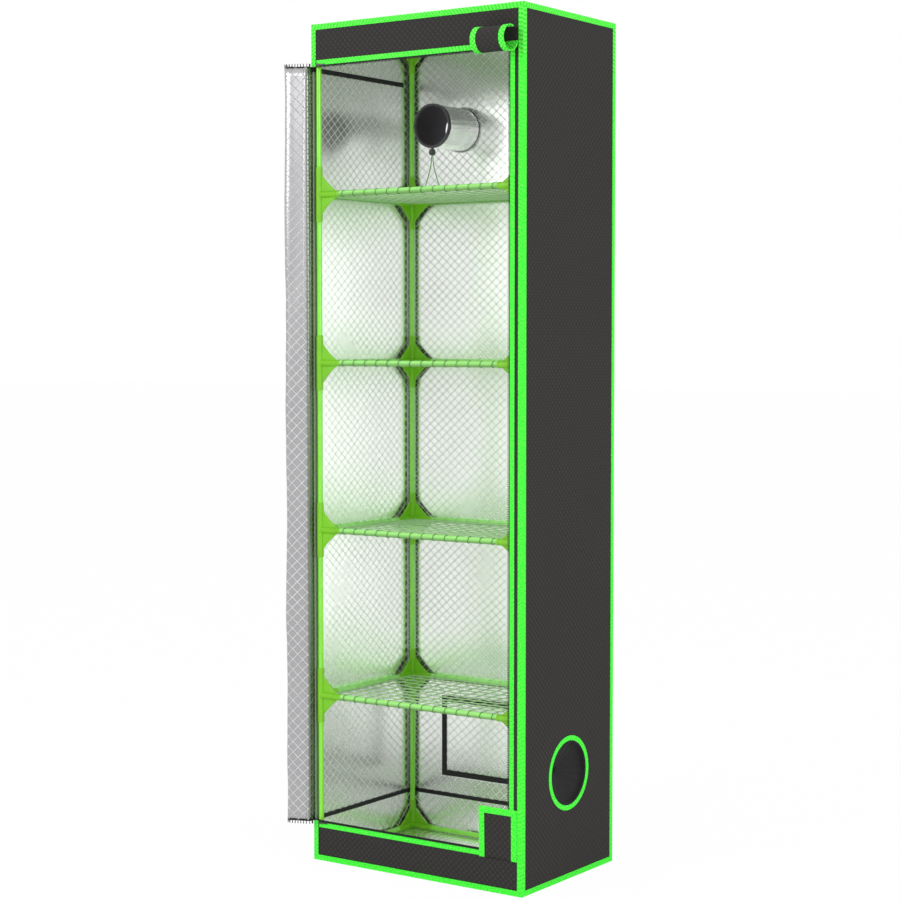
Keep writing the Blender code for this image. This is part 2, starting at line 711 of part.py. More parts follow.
def ring_profile(inner, outer):
    """The section of a flat tape ring, from its foot at height 0."""
    return [(outer, TAPE), (outer, 0), (inner, 0), (inner, TAPE)]


def add_cord_lock():
    """A spring lock under the mouth, and the two tails of the drawcord that hang from it."""
    lock_y = HALF_DEPTH - SKIN_IN - DUCT_REACH + MOUTH_HEM / 2
    neck_top = DUCT_Z - DUCT_RADIUS - MOUTH_HEM_EXTRA - CLEARANCE
    top = neck_top - LOCK_NECK_LENGTH
    foot = top - LOCK_LENGTH
    edge = LOCK_RADIUS - LOCK_ROUNDING
    shoulder, chin = top - LOCK_ROUNDING, foot + LOCK_ROUNDING
    profile = [(0, neck_top), (LOCK_NECK_RADIUS, neck_top), (LOCK_NECK_RADIUS, top), (edge, top),
               (LOCK_RADIUS, shoulder), (LOCK_RADIUS, chin), (edge, foot), (0, foot)]
    lock = turned("cord_lock", profile, SMALL_SIDES, closed=False)
    lock.location = (DUCT_X, lock_y, 0)
    finish(applied(lock), "cord_lock", "dark_plastic", smooth=True)
    for name, side in (("drawcord_left", -1), ("drawcord_right", 1)):
        start = Vector((DUCT_X, lock_y, foot - CLEARANCE))
        route = [start + Vector((side * out, 0, -down)) for out, down in TAIL_ROUTE]
        points = smooth_route(route, CORD_POINT_SPACING)
        length = sum((b - a).length for a, b in zip(points, points[1:]))
        print(f"{name} leaves the lock at {tuple(round(c, 5) for c in points[0])}, length {length:.4f}")
        tail = cord(name, points, CORD_RADIUS, CORD_BEVEL_RESOLUTION)
        finish_curve(tail, name, "drawcord", smooth=True)


def smooth_route(points, spacing):
    """Points along a Catmull-Rom curve through the given ones, about one spacing apart."""
    ends = [2 * points[0] - points[1], *points, 2 * points[-1] - points[-2]]
    route = []
    for before, start, end, after in zip(ends, ends[1:], ends[2:], ends[3:]):
        steps = max(round((end - start).length / spacing), 1)
        first = start + (end - before) * HANDLE_SHARE
        second = end - (after - start) * HANDLE_SHARE
        route += interpolate_bezier(start, first, second, end, steps + 1)[:-1]
    return [*route, points[-1]]


def add_vent():
    """Mesh in the back window, and the flap that closes it from inside, hung at its top edge."""
    y_in, y_out = HALF_DEPTH - SKIN_IN, HALF_DEPTH - SKIN_OUT
    inner_x = VENT_HALF_WIDTH - VENT_BORDER
    low, high = VENT_BOTTOM + VENT_BORDER, VENT_TOP - VENT_BORDER
    mesh_x, mesh_low, mesh_high = inner_x - CLEARANCE, low + CLEARANCE, high - CLEARANCE
    mesh = box((-mesh_x, y_in, mesh_low), (mesh_x, y_out, mesh_high))
    finish(mesh, "vent_mesh", "black_webbing")
    face = y_in - CLEARANCE
    border_y, field_y = face - SHEET - VENT_BORDER_EXTRA, face - SHEET
    flap = box((-VENT_HALF_WIDTH, border_y, VENT_BOTTOM), (VENT_HALF_WIDTH, face, VENT_TOP))
    field = box((-inner_x, field_y - OVERRUN, low), (inner_x, field_y, high))
    boolean(flap, helper(field, "vent flap field"), "DIFFERENCE")
    flap = applied(flap)
    set_origin(flap, (0, face - SHEET / 2, VENT_TOP))
    finish(flap, "vent_flap", "mylar_laminate")


def add_port():
    """Green ring and closed, gathered sleeve of the round port in the right wall."""
    section = ring_profile(PORT_RADIUS, PORT_RADIUS + PORT_RING_WIDTH)
    ring = turned("port_ring", section, RING_SIDES, closed=True)
    ring.rotation_euler = (0, math.pi / 2, 0)
    ring.location = (HALF_WIDTH - TAPE, 0, PORT_Z)
    finish(applied(ring), "port_ring", "green_binding", smooth=True)
    outer, knot, tip = PORT_RADIUS - CLEARANCE, PORT_KNOT_RADIUS, PORT_DEPTH + PORT_TAIL
    inner, floor = outer - SHEET, PORT_DEPTH - SHEET
    profile = [(0, tip), (knot, tip), (knot, PORT_DEPTH), (outer, PORT_TUBE + SHEET),
               (outer, 0), (inner, 0), (inner, PORT_TUBE), (0, floor)]
    sleeve = turned("port_sleeve", profile, RING_SIDES, closed=False)
    sleeve.rotation_euler = (0, -math.pi / 2, 0)
    sleeve.location = (HALF_WIDTH - TAPE, 0, PORT_Z)
    finish(applied(sleeve), "port_sleeve", "oxford_fabric", smooth=True)


def add_wall_strip():
    """Hook-and-loop tape near the top of the left wall, from the door to the back post."""
    wall, start = LEFT + SKIN_IN + CLEARANCE, FRONT + SKIN_IN + CLEARANCE
    middle, half = HEIGHT - WALL_TAPE_DROP, WALL_TAPE_HEIGHT / 2
    end = HALF_DEPTH - WALL_TAPE_MARGIN
    strip = box((wall, start, middle - half), (wall + SHEET, end, middle + half))
    finish(strip, "wall_strip", "black_webbing")


def add_lower_flap():
    """The closed flap over the lower zip corner, hinged on its bottom seam, bound on its other edges."""
    low_x = FLAP_RIGHT - LOWER_FLAP_WIDTH
    low_z, high_z = LOWER_FLAP_BOTTOM, LOWER_FLAP_BOTTOM + LOWER_FLAP_HEIGHT
    back = FRONT - CLEARANCE
    face = back - SHEET
    flap = box((low_x, face - FLAP_BINDING_EXTRA, low_z), (FLAP_RIGHT, back, high_z))
    field = box((low_x + FLAP_BINDING, face - OVERRUN, low_z - OVERRUN),
                (FLAP_RIGHT - FLAP_BINDING, face, high_z - FLAP_BINDING))
    boolean(flap, helper(field, "lower flap field"), "DIFFERENCE")
    flap = applied(flap)
    set_origin(flap, ((low_x + FLAP_RIGHT) / 2, face, low_z))
    finish(flap, "lower_flap", "oxford_fabric")


def add_rolled_flap():
    """The upper flap rolled up: out from its seam, over, down and back to the wall in a C."""
    seam_y, seam_z = FRONT - CLEARANCE, ROLL_Z + ROLL_RADIUS - ROLL_SEAM_DROP
    centre_y = seam_y - ROLL_STANDOFF - ROLL_RADIUS - SHEET / 2
    line = [(seam_y, seam_z)]
    for step in range(ROLL_STEPS + 1):
        angle = ROLL_START + (ROLL_END - ROLL_START) * step / ROLL_STEPS
        out, up = ROLL_RADIUS * math.cos(angle), ROLL_RADIUS * math.sin(angle)
        line.append((centre_y + out, ROLL_Z + up))
    low_x = FLAP_RIGHT - ROLL_WIDTH
    points = [(x, y, z) for y, z in line for x in (low_x, FLAP_RIGHT)]
    faces = [(2 * i, 2 * i + 1, 2 * i + 3, 2 * i + 2) for i in range(len(line) - 1)]
    roll = mesh_object("rolled_flap", points, (), faces)
    wall = roll.modifiers.new("sheet", "SOLIDIFY")
    wall.thickness = SHEET
    wall.offset = 0
    roll = applied(roll)
    set_origin(roll, ((low_x + FLAP_RIGHT) / 2, seam_y, seam_z + SHEET / 2))
    finish(roll, "rolled_flap", "oxford_fabric", smooth=True)


def build():
    add_walls()
    add_front_panel()
    add_edge_binding()
    add_opening_trim()
    add_door()
    add_slider("upper_slider", OPENING_TOP + CLEARANCE, 1)
    add_slider("lower_slider", OPENING_BOTTOM - CLEARANCE, -1)
    add_posts()
    add_rods()
    add_nets()
    add_tray()
    add_duct_sleeve()
    add_cord_lock()
    add_vent()
    add_port()
    add_wall_strip()
    add_lower_flap()
    add_rolled_flap()


clear_scene()
PARTS = collection("grow_tent")
HELPERS = collection("helpers", hidden=True)
MATERIALS = {name: material(name) for name in FINISHES}
build()
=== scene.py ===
"""Looks of an indoor grow tent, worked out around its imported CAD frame.

Lengths are in metres, in the CAD's own frame: the tent stands at the origin and its door side faces -Y.
"""
import math

import bmesh
import bpy
import numpy as np
from bpy.props import FloatProperty, FloatVectorProperty, IntProperty, PointerProperty
from bpy.types import Operator, Panel, PropertyGroup
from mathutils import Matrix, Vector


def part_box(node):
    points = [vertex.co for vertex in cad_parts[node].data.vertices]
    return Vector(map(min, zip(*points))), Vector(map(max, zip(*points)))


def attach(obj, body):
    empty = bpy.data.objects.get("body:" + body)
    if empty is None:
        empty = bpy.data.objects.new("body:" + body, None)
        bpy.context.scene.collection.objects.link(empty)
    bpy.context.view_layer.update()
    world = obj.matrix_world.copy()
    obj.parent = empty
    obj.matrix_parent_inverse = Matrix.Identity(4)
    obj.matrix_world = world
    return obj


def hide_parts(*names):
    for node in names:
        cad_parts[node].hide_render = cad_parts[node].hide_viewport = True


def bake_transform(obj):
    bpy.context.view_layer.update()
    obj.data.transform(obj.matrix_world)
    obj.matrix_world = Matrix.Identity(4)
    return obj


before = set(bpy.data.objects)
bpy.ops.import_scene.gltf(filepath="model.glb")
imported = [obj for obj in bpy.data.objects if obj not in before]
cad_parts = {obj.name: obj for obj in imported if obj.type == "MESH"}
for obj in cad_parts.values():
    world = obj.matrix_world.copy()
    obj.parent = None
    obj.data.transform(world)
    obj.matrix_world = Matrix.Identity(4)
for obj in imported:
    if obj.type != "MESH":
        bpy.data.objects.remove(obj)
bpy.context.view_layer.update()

bl_info = {
    "name": "Indoor grow tent",
    "version": (1, 0, 0),
    "blender": (4, 5, 0),
    "location": "3D View > Sidebar > Grow tent",
    "description": "Cloth, nets, tapes and finishes of a grow tent around its CAD frame",
    "category": "Object",
}

# Corners of the CAD's sheets
(LEFT, FRONT, FOOT), (RIGHT, BACK, TOP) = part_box("edge_binding")
WALL_LOW, WALL_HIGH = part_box("right_wall")
BACK_LOW, BACK_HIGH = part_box("back_wall")
ROOF_LOW, ROOF_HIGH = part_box("roof_panel")
FLOOR_LOW, FLOOR_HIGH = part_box("floor_panel")
PANEL_LOW, PANEL_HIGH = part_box("front_panel")
BINDING_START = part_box("opening_binding")[0][0]

# Posts, rods and connectors, as in the CAD
POST_INSET = 0.0128
POST_X, POST_Y = RIGHT - POST_INSET, BACK - POST_INSET
FRAME_FOOT, FRAME_TOP = 0.0027, 1.9976
LEVELS = (0.0104, 0.4, 0.8, 1.2, 1.6, 1.9899)
SHELVES = LEVELS[1:5]
BAY_HEIGHT = 0.4
ROD_RADIUS = 0.0067
ROD_SEAT = 0.0323
SLEEVE_RADIUS = 0.0085
SLEEVE_HALF_HEIGHT = 0.0655
SOCKET_RADIUS = 0.0077
ARM_LENGTH = 0.0620
TUBE_SIDES = 20

# Door opening, duct hole and round port, as in the CAD
OPENING_RIGHT = 0.2622
OPENING_BOTTOM, OPENING_TOP = 0.0960, 1.9005
DUCT_X, DUCT_Z, DUCT_RADIUS = -0.1400, 1.7760, 0.0525
PORT_Z, PORT_RADIUS = 0.2500, 0.0750

# Tapes, read from the photograph
EDGE_TAPE_WIDTH = 0.0134
SEAM_FLANGE_WIDTH = 0.0018
BINDING_WIDTH = 0.0117
DUCT_RING_WIDTH = 0.0140
PORT_RING_WIDTH = 0.0114
ZIP_BAND = 0.0027
TAPE_GAP = 0.0003

# Net shelves: inset from the posts' lines, drop under the rods' axes, and radii of the hem and the lacing loops
NET_INSET = 0.0083
NET_HALF_X, NET_HALF_Y = POST_X - NET_INSET, POST_Y - NET_INSET
NET_DROP = 0.0012
HEM_RADIUS = 0.0069
LOOP_RADIUS = 0.0068

# Grid steps of the cloth
CLOTH_STEP = 0.02
ROOF_STEP = 0.03

# The drawcord's right-hand tail, from the foot of the lock: out to the side, and down
TAIL_START = (-0.1400, 0.0699, 1.7046)
TAIL_ROUTE = (
    (0.0014, 0.0000), (0.0029, 0.0160), (0.0060, 0.0320), (0.0112, 0.0490),
    (0.0178, 0.0670), (0.0238, 0.0810), (0.0278, 0.0920),
)
TAIL_LENGTH, TAIL_DIAMETER = 0.0963, 0.0022


class GROWTENT_PG_sizes(PropertyGroup):
    """Sizes of the cloth, nets and tapes"""

    cloth_thickness: FloatProperty(
        name="Cloth thickness", description="Thickness of the laminated cloth",
        default=0.0010, min=0.0004, max=0.0015, unit="LENGTH")
    cloth_slack: FloatProperty(
        name="Cloth slack", description="How far a wall may stand out between its poles",
        default=0.0016, min=0.0, max=0.004, unit="LENGTH")
    weave_pitch: FloatProperty(
        name="Weave pitch", description="Spacing of the woven ribs in the outer cloth",
        default=0.0072, min=0.0005, max=0.02, unit="LENGTH")
    diamond_width: FloatProperty(
        name="Diamond width", description="Width of an embossed diamond in the silver film",
        default=0.0250, min=0.005, max=0.05, unit="LENGTH")
    diamond_height: FloatProperty(
        name="Diamond height", description="Height of an embossed diamond in the silver film",
        default=0.0215, min=0.005, max=0.05, unit="LENGTH")
    diamond_line: FloatProperty(
        name="Diamond line", description="Width of the embossed ridge between diamonds",
        default=0.0018, min=0.0005, max=0.006, unit="LENGTH")
    tape_thickness: FloatProperty(
        name="Tape thickness", description="Thickness of the sewn green tape",
        default=0.0008, min=0.0004, max=0.0015, unit="LENGTH")
    net_columns: IntProperty(
        name="Net columns", description="Meshes along the longer side of a net shelf", default=17, min=6, max=30)
    net_rows: IntProperty(
        name="Net rows", description="Meshes along the shorter side of a net shelf", default=11, min=4, max=20)
    strand_radius: FloatProperty(
        name="Strand radius", description="Radius of the net's strands",
        default=0.0015, min=0.0005, max=0.002, unit="LENGTH")
    lacing_radius: FloatProperty(
        name="Lacing radius", description="Radius of the cord that laces a net to its rods",
        default=0.0008, min=0.0005, max=0.002, unit="LENGTH")
    net_sag: FloatProperty(
        name="Net sag", description="How far the middle of a net hangs below its rods",
        default=0.0040, min=0.0, max=0.02, unit="LENGTH")
    tooth_pitch: FloatProperty(
        name="Tooth pitch", description="Spacing of the zip's teeth on the tent",
        default=0.0040, min=0.001, max=0.01, unit="LENGTH")
    door_tooth_pitch: FloatProperty(
        name="Door tooth pitch", description="Spacing of the zip's teeth on the door",
        default=0.0070, min=0.001, max=0.01, unit="LENGTH")


def colour_property(name, description, default):
    return FloatVectorProperty(name=name, description=description, default=default, subtype="COLOR",
                               size=3, min=0.0, max=1.0)


class GROWTENT_PG_colours(PropertyGroup):
    """Base colours of the finishes"""

    cloth: colour_property("Outer cloth", "Charcoal oxford cloth", (0.040, 0.0375, 0.0365))
    silver: colour_property("Silver film", "Reflective lining", (0.985, 0.99, 0.985))
    duct_film: colour_property("Duct film", "Reflective cloth of the duct sleeve", (0.80, 0.81, 0.80))
    lining: colour_property("Lining", "Black lining of the duct sleeve and the port", (0.022, 0.019, 0.026))
    hem: colour_property("Hem", "Drawcord hem of the duct sleeve", (0.075, 0.070, 0.082))
    # The door film is a greyer copy of the silver film; its grey is painted shade for the dimmer light it mirrors
    door_film: colour_property("Door film", "Reflective lining of the folded-back door", (0.44, 0.437, 0.447))
    tape: colour_property("Tape", "Neon green woven tape", (0.045, 0.93, 0.040))
    steel: colour_property("Poles", "Powder-coated steel tube", (0.235, 0.80, 0.030))
    connector: colour_property("Connectors", "Moulded corner connectors", (0.20, 0.58, 0.010))
    net: colour_property("Net", "Knotted net cord", (0.38, 0.62, 0.30))
    net_hem: colour_property("Net hem", "Hem of the net, wrapped round its rods", (0.35, 0.82, 0.21))
    # The seam tape's pale green is a painted reflection of the front left post in the wall's film
    seam: colour_property("Seam tape", "Dull tape inside the front left seam", (0.28, 0.39, 0.24))
    # Seam shade is painted shade and a painted reflection of the seam tape, beside the door's seam
    seam_shade: colour_property("Seam shade", "Door film where it mirrors the seam", (0.19, 0.22, 0.17))
    lacing: colour_property("Lacing", "Cord that laces the nets", (0.05, 0.16, 0.03))
    black: colour_property("Black trims", "Hems, zip tape and hook-and-loop strips", (0.012, 0.012, 0.012))
    drawcord: colour_property("Drawcord", "Braided cord of the duct sleeve", (0.15, 0.42, 0.10))
    plastic: colour_property("Dark plastic", "Cord lock", (0.055, 0.055, 0.053))
    metal: colour_property("Slider metal", "Zip sliders", (0.09, 0.09, 0.095))
    floor: colour_property("Floor", "Studio floor", (0.93, 0.93, 0.93))


def sizes():
    return bpy.context.scene.grow_tent_sizes


def colour(name):
    return (*getattr(bpy.context.scene.grow_tent_colours, name), 1.0)


# Shapes


def smooth_step(x):
    """0 below 0, 1 above 1 and 3x^2 - 2x^3 between."""
    x = np.clip(x, 0.0, 1.0)
    return x * x * (3.0 - 2.0 * x)


def ripple(u, v, seed, size):
    """A cloth-like height, about -1 to 1: the mean of nine sine waves of random direction, length and phase."""
    waves, gain = 9, 1.8
    draw = np.random.default_rng(seed)
    turn, length = draw.uniform(0, math.pi, waves), size * draw.uniform(0.5, 1.8, waves)
    phase = draw.uniform(0, 2 * math.pi, waves)
    along = u[..., None] * np.cos(turn) + v[..., None] * np.sin(turn)
    return np.sin(2 * math.pi * along / length + phase).mean(-1) * gain


def run_length(points, axis):
    """Mean length along one direction of a grid, added up from its first line."""
    step = np.linalg.norm(np.diff(points, axis=axis), axis=2).mean(axis=1 - axis)
    return np.concatenate([[0.0], np.cumsum(step)])


def corners(grid):
    """The four corner values of each cell of a grid, round the cell."""
    return np.stack([grid[:-1, :-1], grid[1:, :-1], grid[1:, 1:], grid[:-1, 1:]], axis=2)


def patch(points, wrap_rows=False, wrap_columns=False, caps=False, slot=0):
    """A surface through a grid of points. Its map runs in metres along the rows and the columns.

    caps closes the first and last row, each a closed loop, with quads between opposite points.
    slot is one finish, or one for each step between rows.
    """
    points = np.asarray(points, float)
    rows, columns = points.shape[:2]
    number = np.arange(rows * columns).reshape(rows, columns)
    full = points
    if wrap_rows:
        full, number = np.concatenate([full, full[:1]]), np.concatenate([number, number[:1]])
    if wrap_columns:
        full = np.concatenate([full, full[:, :1]], axis=1)
        number = np.concatenate([number, number[:, :1]], axis=1)
    u, v = np.meshgrid(run_length(full, 0), run_length(full, 1), indexing="ij")
    faces = corners(number)
    slots = np.broadcast_to(np.reshape(slot, (-1, 1)), faces.shape[:2]).reshape(-1)
    faces, uv = faces.reshape(-1, 4), corners(np.stack([u, v], axis=2)).reshape(-1, 4, 2)
    if caps:
        a = np.arange(columns // 2 - 1)
        across = np.stack([a, a + 1, columns - 2 - a, columns - 1 - a], axis=1)
        ends = [number[0, :columns][across[:, ::-1]], number[-1, :columns][across]]
        faces = np.concatenate([faces, *ends])
        flat = points.reshape(-1, 3)[np.concatenate(ends)]
        uv = np.concatenate([uv, flat[..., :2]])
        first, last = (np.full(len(end), end_slot) for end, end_slot in zip(ends, (slots[0], slots[-1])))
        slots = np.concatenate([slots, first, last])
    return {"points": points.reshape(-1, 3), "faces": faces, "uv": uv, "slots": slots}


def joined(patches):
    """Several patches as one, each with its own points."""
    start = np.cumsum([0] + [len(p["points"]) for p in patches[:-1]])
    return {
        "points": np.concatenate([p["points"] for p in patches]),
        "faces": np.concatenate([p["faces"] + s for p, s in zip(patches, start)]),
        "uv": np.concatenate([p["uv"] for p in patches]),
        "slots": np.concatenate([p["slots"] for p in patches]),
    }


def moved(shape, matrix, offset):
    """A patch with its points turned by a 3 x 3 matrix and then shifted."""
    return {**shape, "points": shape["points"] @ np.asarray(matrix, float).T + np.asarray(offset, float)}


def piece(name, patches, finishes, stands_for=(), body="root", closed=True, thickness=None, offset=-1.0,
          sharp=40.0, ride=True):
    """Puts patches into a mesh at the origin, with its finishes, its ride and the CAD nodes it stands for.

    closed shapes have their faces turned outwards. thickness turns one-layer cloth into a sheet, whose other face
    has the next finish. Edges sharper than an angle in degrees stay hard.
    """
    shape = joined(patches)
    mesh = bpy.data.meshes.new(name)
    mesh.from_pydata(shape["points"].tolist(), [], shape["faces"].tolist())
    for material in finishes:
        mesh.materials.append(material)
    mesh.polygons.foreach_set("material_index", shape["slots"].astype(np.int32))
    layer = mesh.uv_layers.new(name="metres")
    layer.uv.foreach_set("vector", shape["uv"].astype(np.float32).reshape(-1))
    if closed:
        work = bmesh.new()
        work.from_mesh(mesh)
        bmesh.ops.recalc_face_normals(work, faces=work.faces)
        work.to_mesh(mesh)
        work.free()
    mesh.validate()
    mesh.shade_smooth()
    mesh.set_sharp_from_angle(angle=math.radians(sharp))
    made = bpy.data.objects.new(name, mesh)
    bpy.context.scene.collection.objects.link(made)
    if thickness:
        wall = made.modifiers.new("sheet", "SOLIDIFY")
        wall.thickness = thickness
        wall.offset = offset
        wall.material_offset = len(finishes) - 1
        wall.use_even_offset = False
    if ride:
        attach(made, body)
    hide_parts(*stands_for)
    return made


def lines(step, *stops):
    """Positions that fall on each stop and are no further apart than a step."""
    parts = []
    for a, b in zip(stops, stops[1:]):
        count = max(1, math.ceil((b - a) / step - 1e-6))
        parts.append(np.linspace(a, b, count + 1)[:-1])
    return np.concatenate([*parts, [stops[-1]]])


def cut_sheet(u, v, place, windows=(), holes=(), flip=False):
    """A flat cut of cloth on the lines u by v, without its rectangular windows and round holes.

    Each hole (middle u, middle v, radius, half) takes a square block out of the grid. Rings of points fill it:
    ring k of n lies at k/n of the way from the circle to the square's edge. place turns (u, v) into points.
    """
    rings = 5
    grid_u, grid_v = np.meshgrid(u, v, indexing="ij")
    number = np.arange(grid_u.size).reshape(grid_u.shape)
    mid_u, mid_v = corners(grid_u).mean(-1), corners(grid_v).mean(-1)
    keep = np.ones(mid_u.shape, bool)
    for low_u, high_u, low_v, high_v in windows:
        keep &= ~((mid_u > low_u) & (mid_u < high_u) & (mid_v > low_v) & (mid_v < high_v))
    flat = [np.stack([grid_u.ravel(), grid_v.ravel()], axis=1)]
    faces, count = [], grid_u.size
    for centre_u, centre_v, radius, half in holes:
        keep &= ~((abs(mid_u - centre_u) < half) & (abs(mid_v - centre_v) < half))
        i = np.flatnonzero(abs(u - centre_u) < half + 1e-6)
        j = np.flatnonzero(abs(v - centre_v) < half + 1e-6)
        block = number[i[0]:i[-1] + 1, j[0]:j[-1] + 1]
        edge = np.concatenate([block[:-1, 0], block[-1, :-1], block[:0:-1, -1], block[0, :0:-1]])
        outer = flat[0][edge]
        centre = np.array([centre_u, centre_v])
        inner = centre + (outer - centre) * radius / np.linalg.norm(outer - centre, axis=1)[:, None]
        share = (np.arange(rings) / rings)[:, None, None]
        flat.append((inner + (outer - inner) * share).reshape(-1, 2))
        ring = count + np.arange(rings * len(edge)).reshape(rings, -1)
        ring = np.concatenate([ring, edge[None]])
        ring = np.concatenate([ring, ring[:, :1]], axis=1)
        faces.append(corners(ring).reshape(-1, 4))
        count += rings * len(edge)
    faces = np.concatenate([corners(number)[keep], *faces])
    flat = np.concatenate(flat)
    used, faces = np.unique(faces, return_inverse=True)
    faces = faces.reshape(-1, 4)
    if flip:
        faces = faces[:, ::-1]
    flat = flat[used]
    return {"points": place(flat[:, 0], flat[:, 1]), "faces": faces, "uv": flat[faces],
            "slots": np.zeros(len(faces), int)}


def whole_sheet(box, step, place, flip=False):
    """A cut of cloth without windows or holes, over a box (low u, high u, low v, high v)."""
    return cut_sheet(lines(step, *box[:2]), lines(step, *box[2:]), place, flip=flip)


def billow(u, v, box, amount, seed, still=(), edge=0.035):
    """How far slack cloth stands out: a ripple from 0 to an amount, that fades at the edges and round sewn parts.

    still holds boxes (middle u, middle v, half width, half height, corner radius) that stay flat.
    """
    size = 0.22
    low_u, high_u, low_v, high_v = box
    fade = smooth_step((u - low_u) / edge) * smooth_step((high_u - u) / edge)
    fade = fade * smooth_step((v - low_v) / edge) * smooth_step((high_v - v) / edge)
    for mid_u, mid_v, half_u, half_v, radius in still:
        past_u, past_v = np.maximum(abs(u - mid_u) - half_u, 0), np.maximum(abs(v - mid_v) - half_v, 0)
        fade = fade * smooth_step((np.hypot(past_u, past_v) - radius) / edge)
    return amount * fade * (0.5 + 0.5 * ripple(u, v, seed, size))


def ribbon(line, thickness):
    """The closed section of a sheet that follows a line: the line set off to both sides by half its thickness."""
    line = np.asarray(line, float)
    along = np.gradient(line, axis=0)
    along /= np.linalg.norm(along, axis=1)[:, None]
    side = np.stack([-along[:, 1], along[:, 0]], axis=1) * thickness / 2
    return np.concatenate([line + side, (line - side)[::-1]])


def corner_tape(start, end, in_a, in_b, mitre=(True, True), width_a=EDGE_TAPE_WIDTH, rows=40):
    """A tape folded over a box edge: an L-shaped section with a rounded corner, carried from start to end.

    in_a and in_b are the ways of its two flanges. A point's distance from the fold sets where it starts and ends,
    so the tapes of three edges meet in mitres.
    """
    start, end, in_a, in_b = (np.asarray(x, float) for x in (start, end, in_a, in_b))
    thick, bend, step = sizes().tape_thickness, 0.0014, 0.004
    turn = np.linspace(0, math.pi / 2, 6)
    mid = thick / 2
    arc = np.stack([bend - (bend - mid) * np.sin(turn), bend - (bend - mid) * np.cos(turn)], axis=1)
    flange = lines(step, bend, width_a)[1:]
    far = lines(step, bend, EDGE_TAPE_WIDTH)[1:]
    line = np.concatenate([np.stack([flange[::-1], np.full(len(flange), mid)], axis=1), arc,
                           np.stack([np.full(len(far), mid), far], axis=1)])
    section = ribbon(line, thick)
    length = np.linalg.norm(end - start)
    direction = (end - start) / length
    back_off = section.max(axis=1) + 0.0001
    first = back_off * mitre[0]
    last = length - back_off * mitre[1]
    share = np.linspace(0, 1, rows)[:, None]
    run = first + (last - first) * share
    points = start + run[..., None] * direction + section[:, :1] * in_a + section[:, 1:] * in_b
    return patch(points, wrap_columns=True, caps=True)


def path_tape(path, outward, width, low, high, plane="xz", rows=30):
    """A flat tape that follows a bent path in one plane, mitred at its corners, from a low to a high face.

    path holds the corner points of its inner edge and outward the way to its outer edge at each, in tape widths.
    """
    path, outward = np.asarray(path, float), np.asarray(outward, float)
    columns = 5
    across = np.concatenate([np.linspace(0, 1, columns), np.linspace(1, 0, columns)])
    height = np.concatenate([np.full(columns, low), np.full(columns, high)])
    legs = []
    for a, b, out_a, out_b in zip(path, path[1:], outward, outward[1:]):
        share = np.linspace(0, 1, rows)[:-1, None]
        legs.append(np.concatenate([a + (b - a) * share, out_a + (out_b - out_a) * share], axis=1))
    legs.append(np.concatenate([path[-1], outward[-1]])[None])
    run = np.concatenate(legs)
    flat = run[:, None, :2] + run[:, None, 2:] * across[None, :, None] * width
    height = np.broadcast_to(height, flat.shape[:2])
    order = {"xz": (flat[..., 0], height, flat[..., 1]), "yz": (height, flat[..., 0], flat[..., 1])}[plane]
    return patch(np.stack(order, axis=2), wrap_columns=True, caps=True)


def revolved(profile, sides, centre, axis, slot=0, caps=True, ring=False, wave=None):
    """A profile of (radius, height) turned about an axis through a centre. wave(angle, row) scales the radius."""
    profile = np.asarray(profile, float)
    angle = np.arange(sides) * 2 * math.pi / sides
    radius = profile[:, :1] * np.ones(sides)
    height = profile[:, 1:] * np.ones(sides)
    if wave:
        radius = radius * wave(angle[None, :], np.arange(len(profile))[:, None])
    a, b = radius * np.cos(angle), radius * np.sin(angle)
    order = {"x": (height, a, b), "y": (a, height, b), "z": (a, b, height)}[axis]
    points = np.stack(order, axis=2) + np.asarray(centre, float)
    return patch(points, wrap_rows=ring, wrap_columns=True, caps=caps and not ring, slot=slot)


def tubes(paths, radius, sides, up=(0, 0, 1), wrap=False, slot=0):
    """Round cords along many paths of equally many points: circles square to each path's direction."""
    paths = np.asarray(paths, float)
    if wrap:
        along = np.roll(paths, -1, axis=1) - np.roll(paths, 1, axis=1)
    else:
        along = np.gradient(paths, axis=1)
    along /= np.linalg.norm(along, axis=2)[..., None]
    side = np.cross(along, np.broadcast_to(np.asarray(up, float), along.shape))
    side /= np.linalg.norm(side, axis=2)[..., None]
    rise = np.cross(side, along)
    angle = np.arange(sides) * 2 * math.pi / sides
    points = (paths[:, :, None] + radius * np.cos(angle)[:, None] * side[:, :, None]
              + radius * np.sin(angle)[:, None] * rise[:, :, None])
    made = [patch(p, wrap_rows=wrap, wrap_columns=True, caps=not wrap, slot=slot) for p in points]
    return joined(made)


def blocks(centres, half, axes):
    """Small boxes at many centres, each with its own three axes and all with the same half sizes."""
    centres, axes = np.asarray(centres, float), np.asarray(axes, float)
    axes = np.broadcast_to(axes, (len(centres), 3, 3))
    signs = np.array([(x, y, z) for z in (-1, 1) for y in (-1, 1) for x in (-1, 1)], float) * half
    points = centres[:, None] + np.einsum("kc,ncd->nkd", signs, axes)
    sides = np.array([(0, 2, 3, 1), (4, 5, 7, 6), (0, 1, 5, 4), (2, 6, 7, 3), (0, 4, 6, 2), (1, 3, 7, 5)])
    faces = (np.arange(len(centres))[:, None, None] * 8 + sides).reshape(-1, 4)
    points = points.reshape(-1, 3)
    return {"points": points, "faces": faces, "uv": points[faces][..., [0, 2]],
            "slots": np.zeros(len(faces), int)}


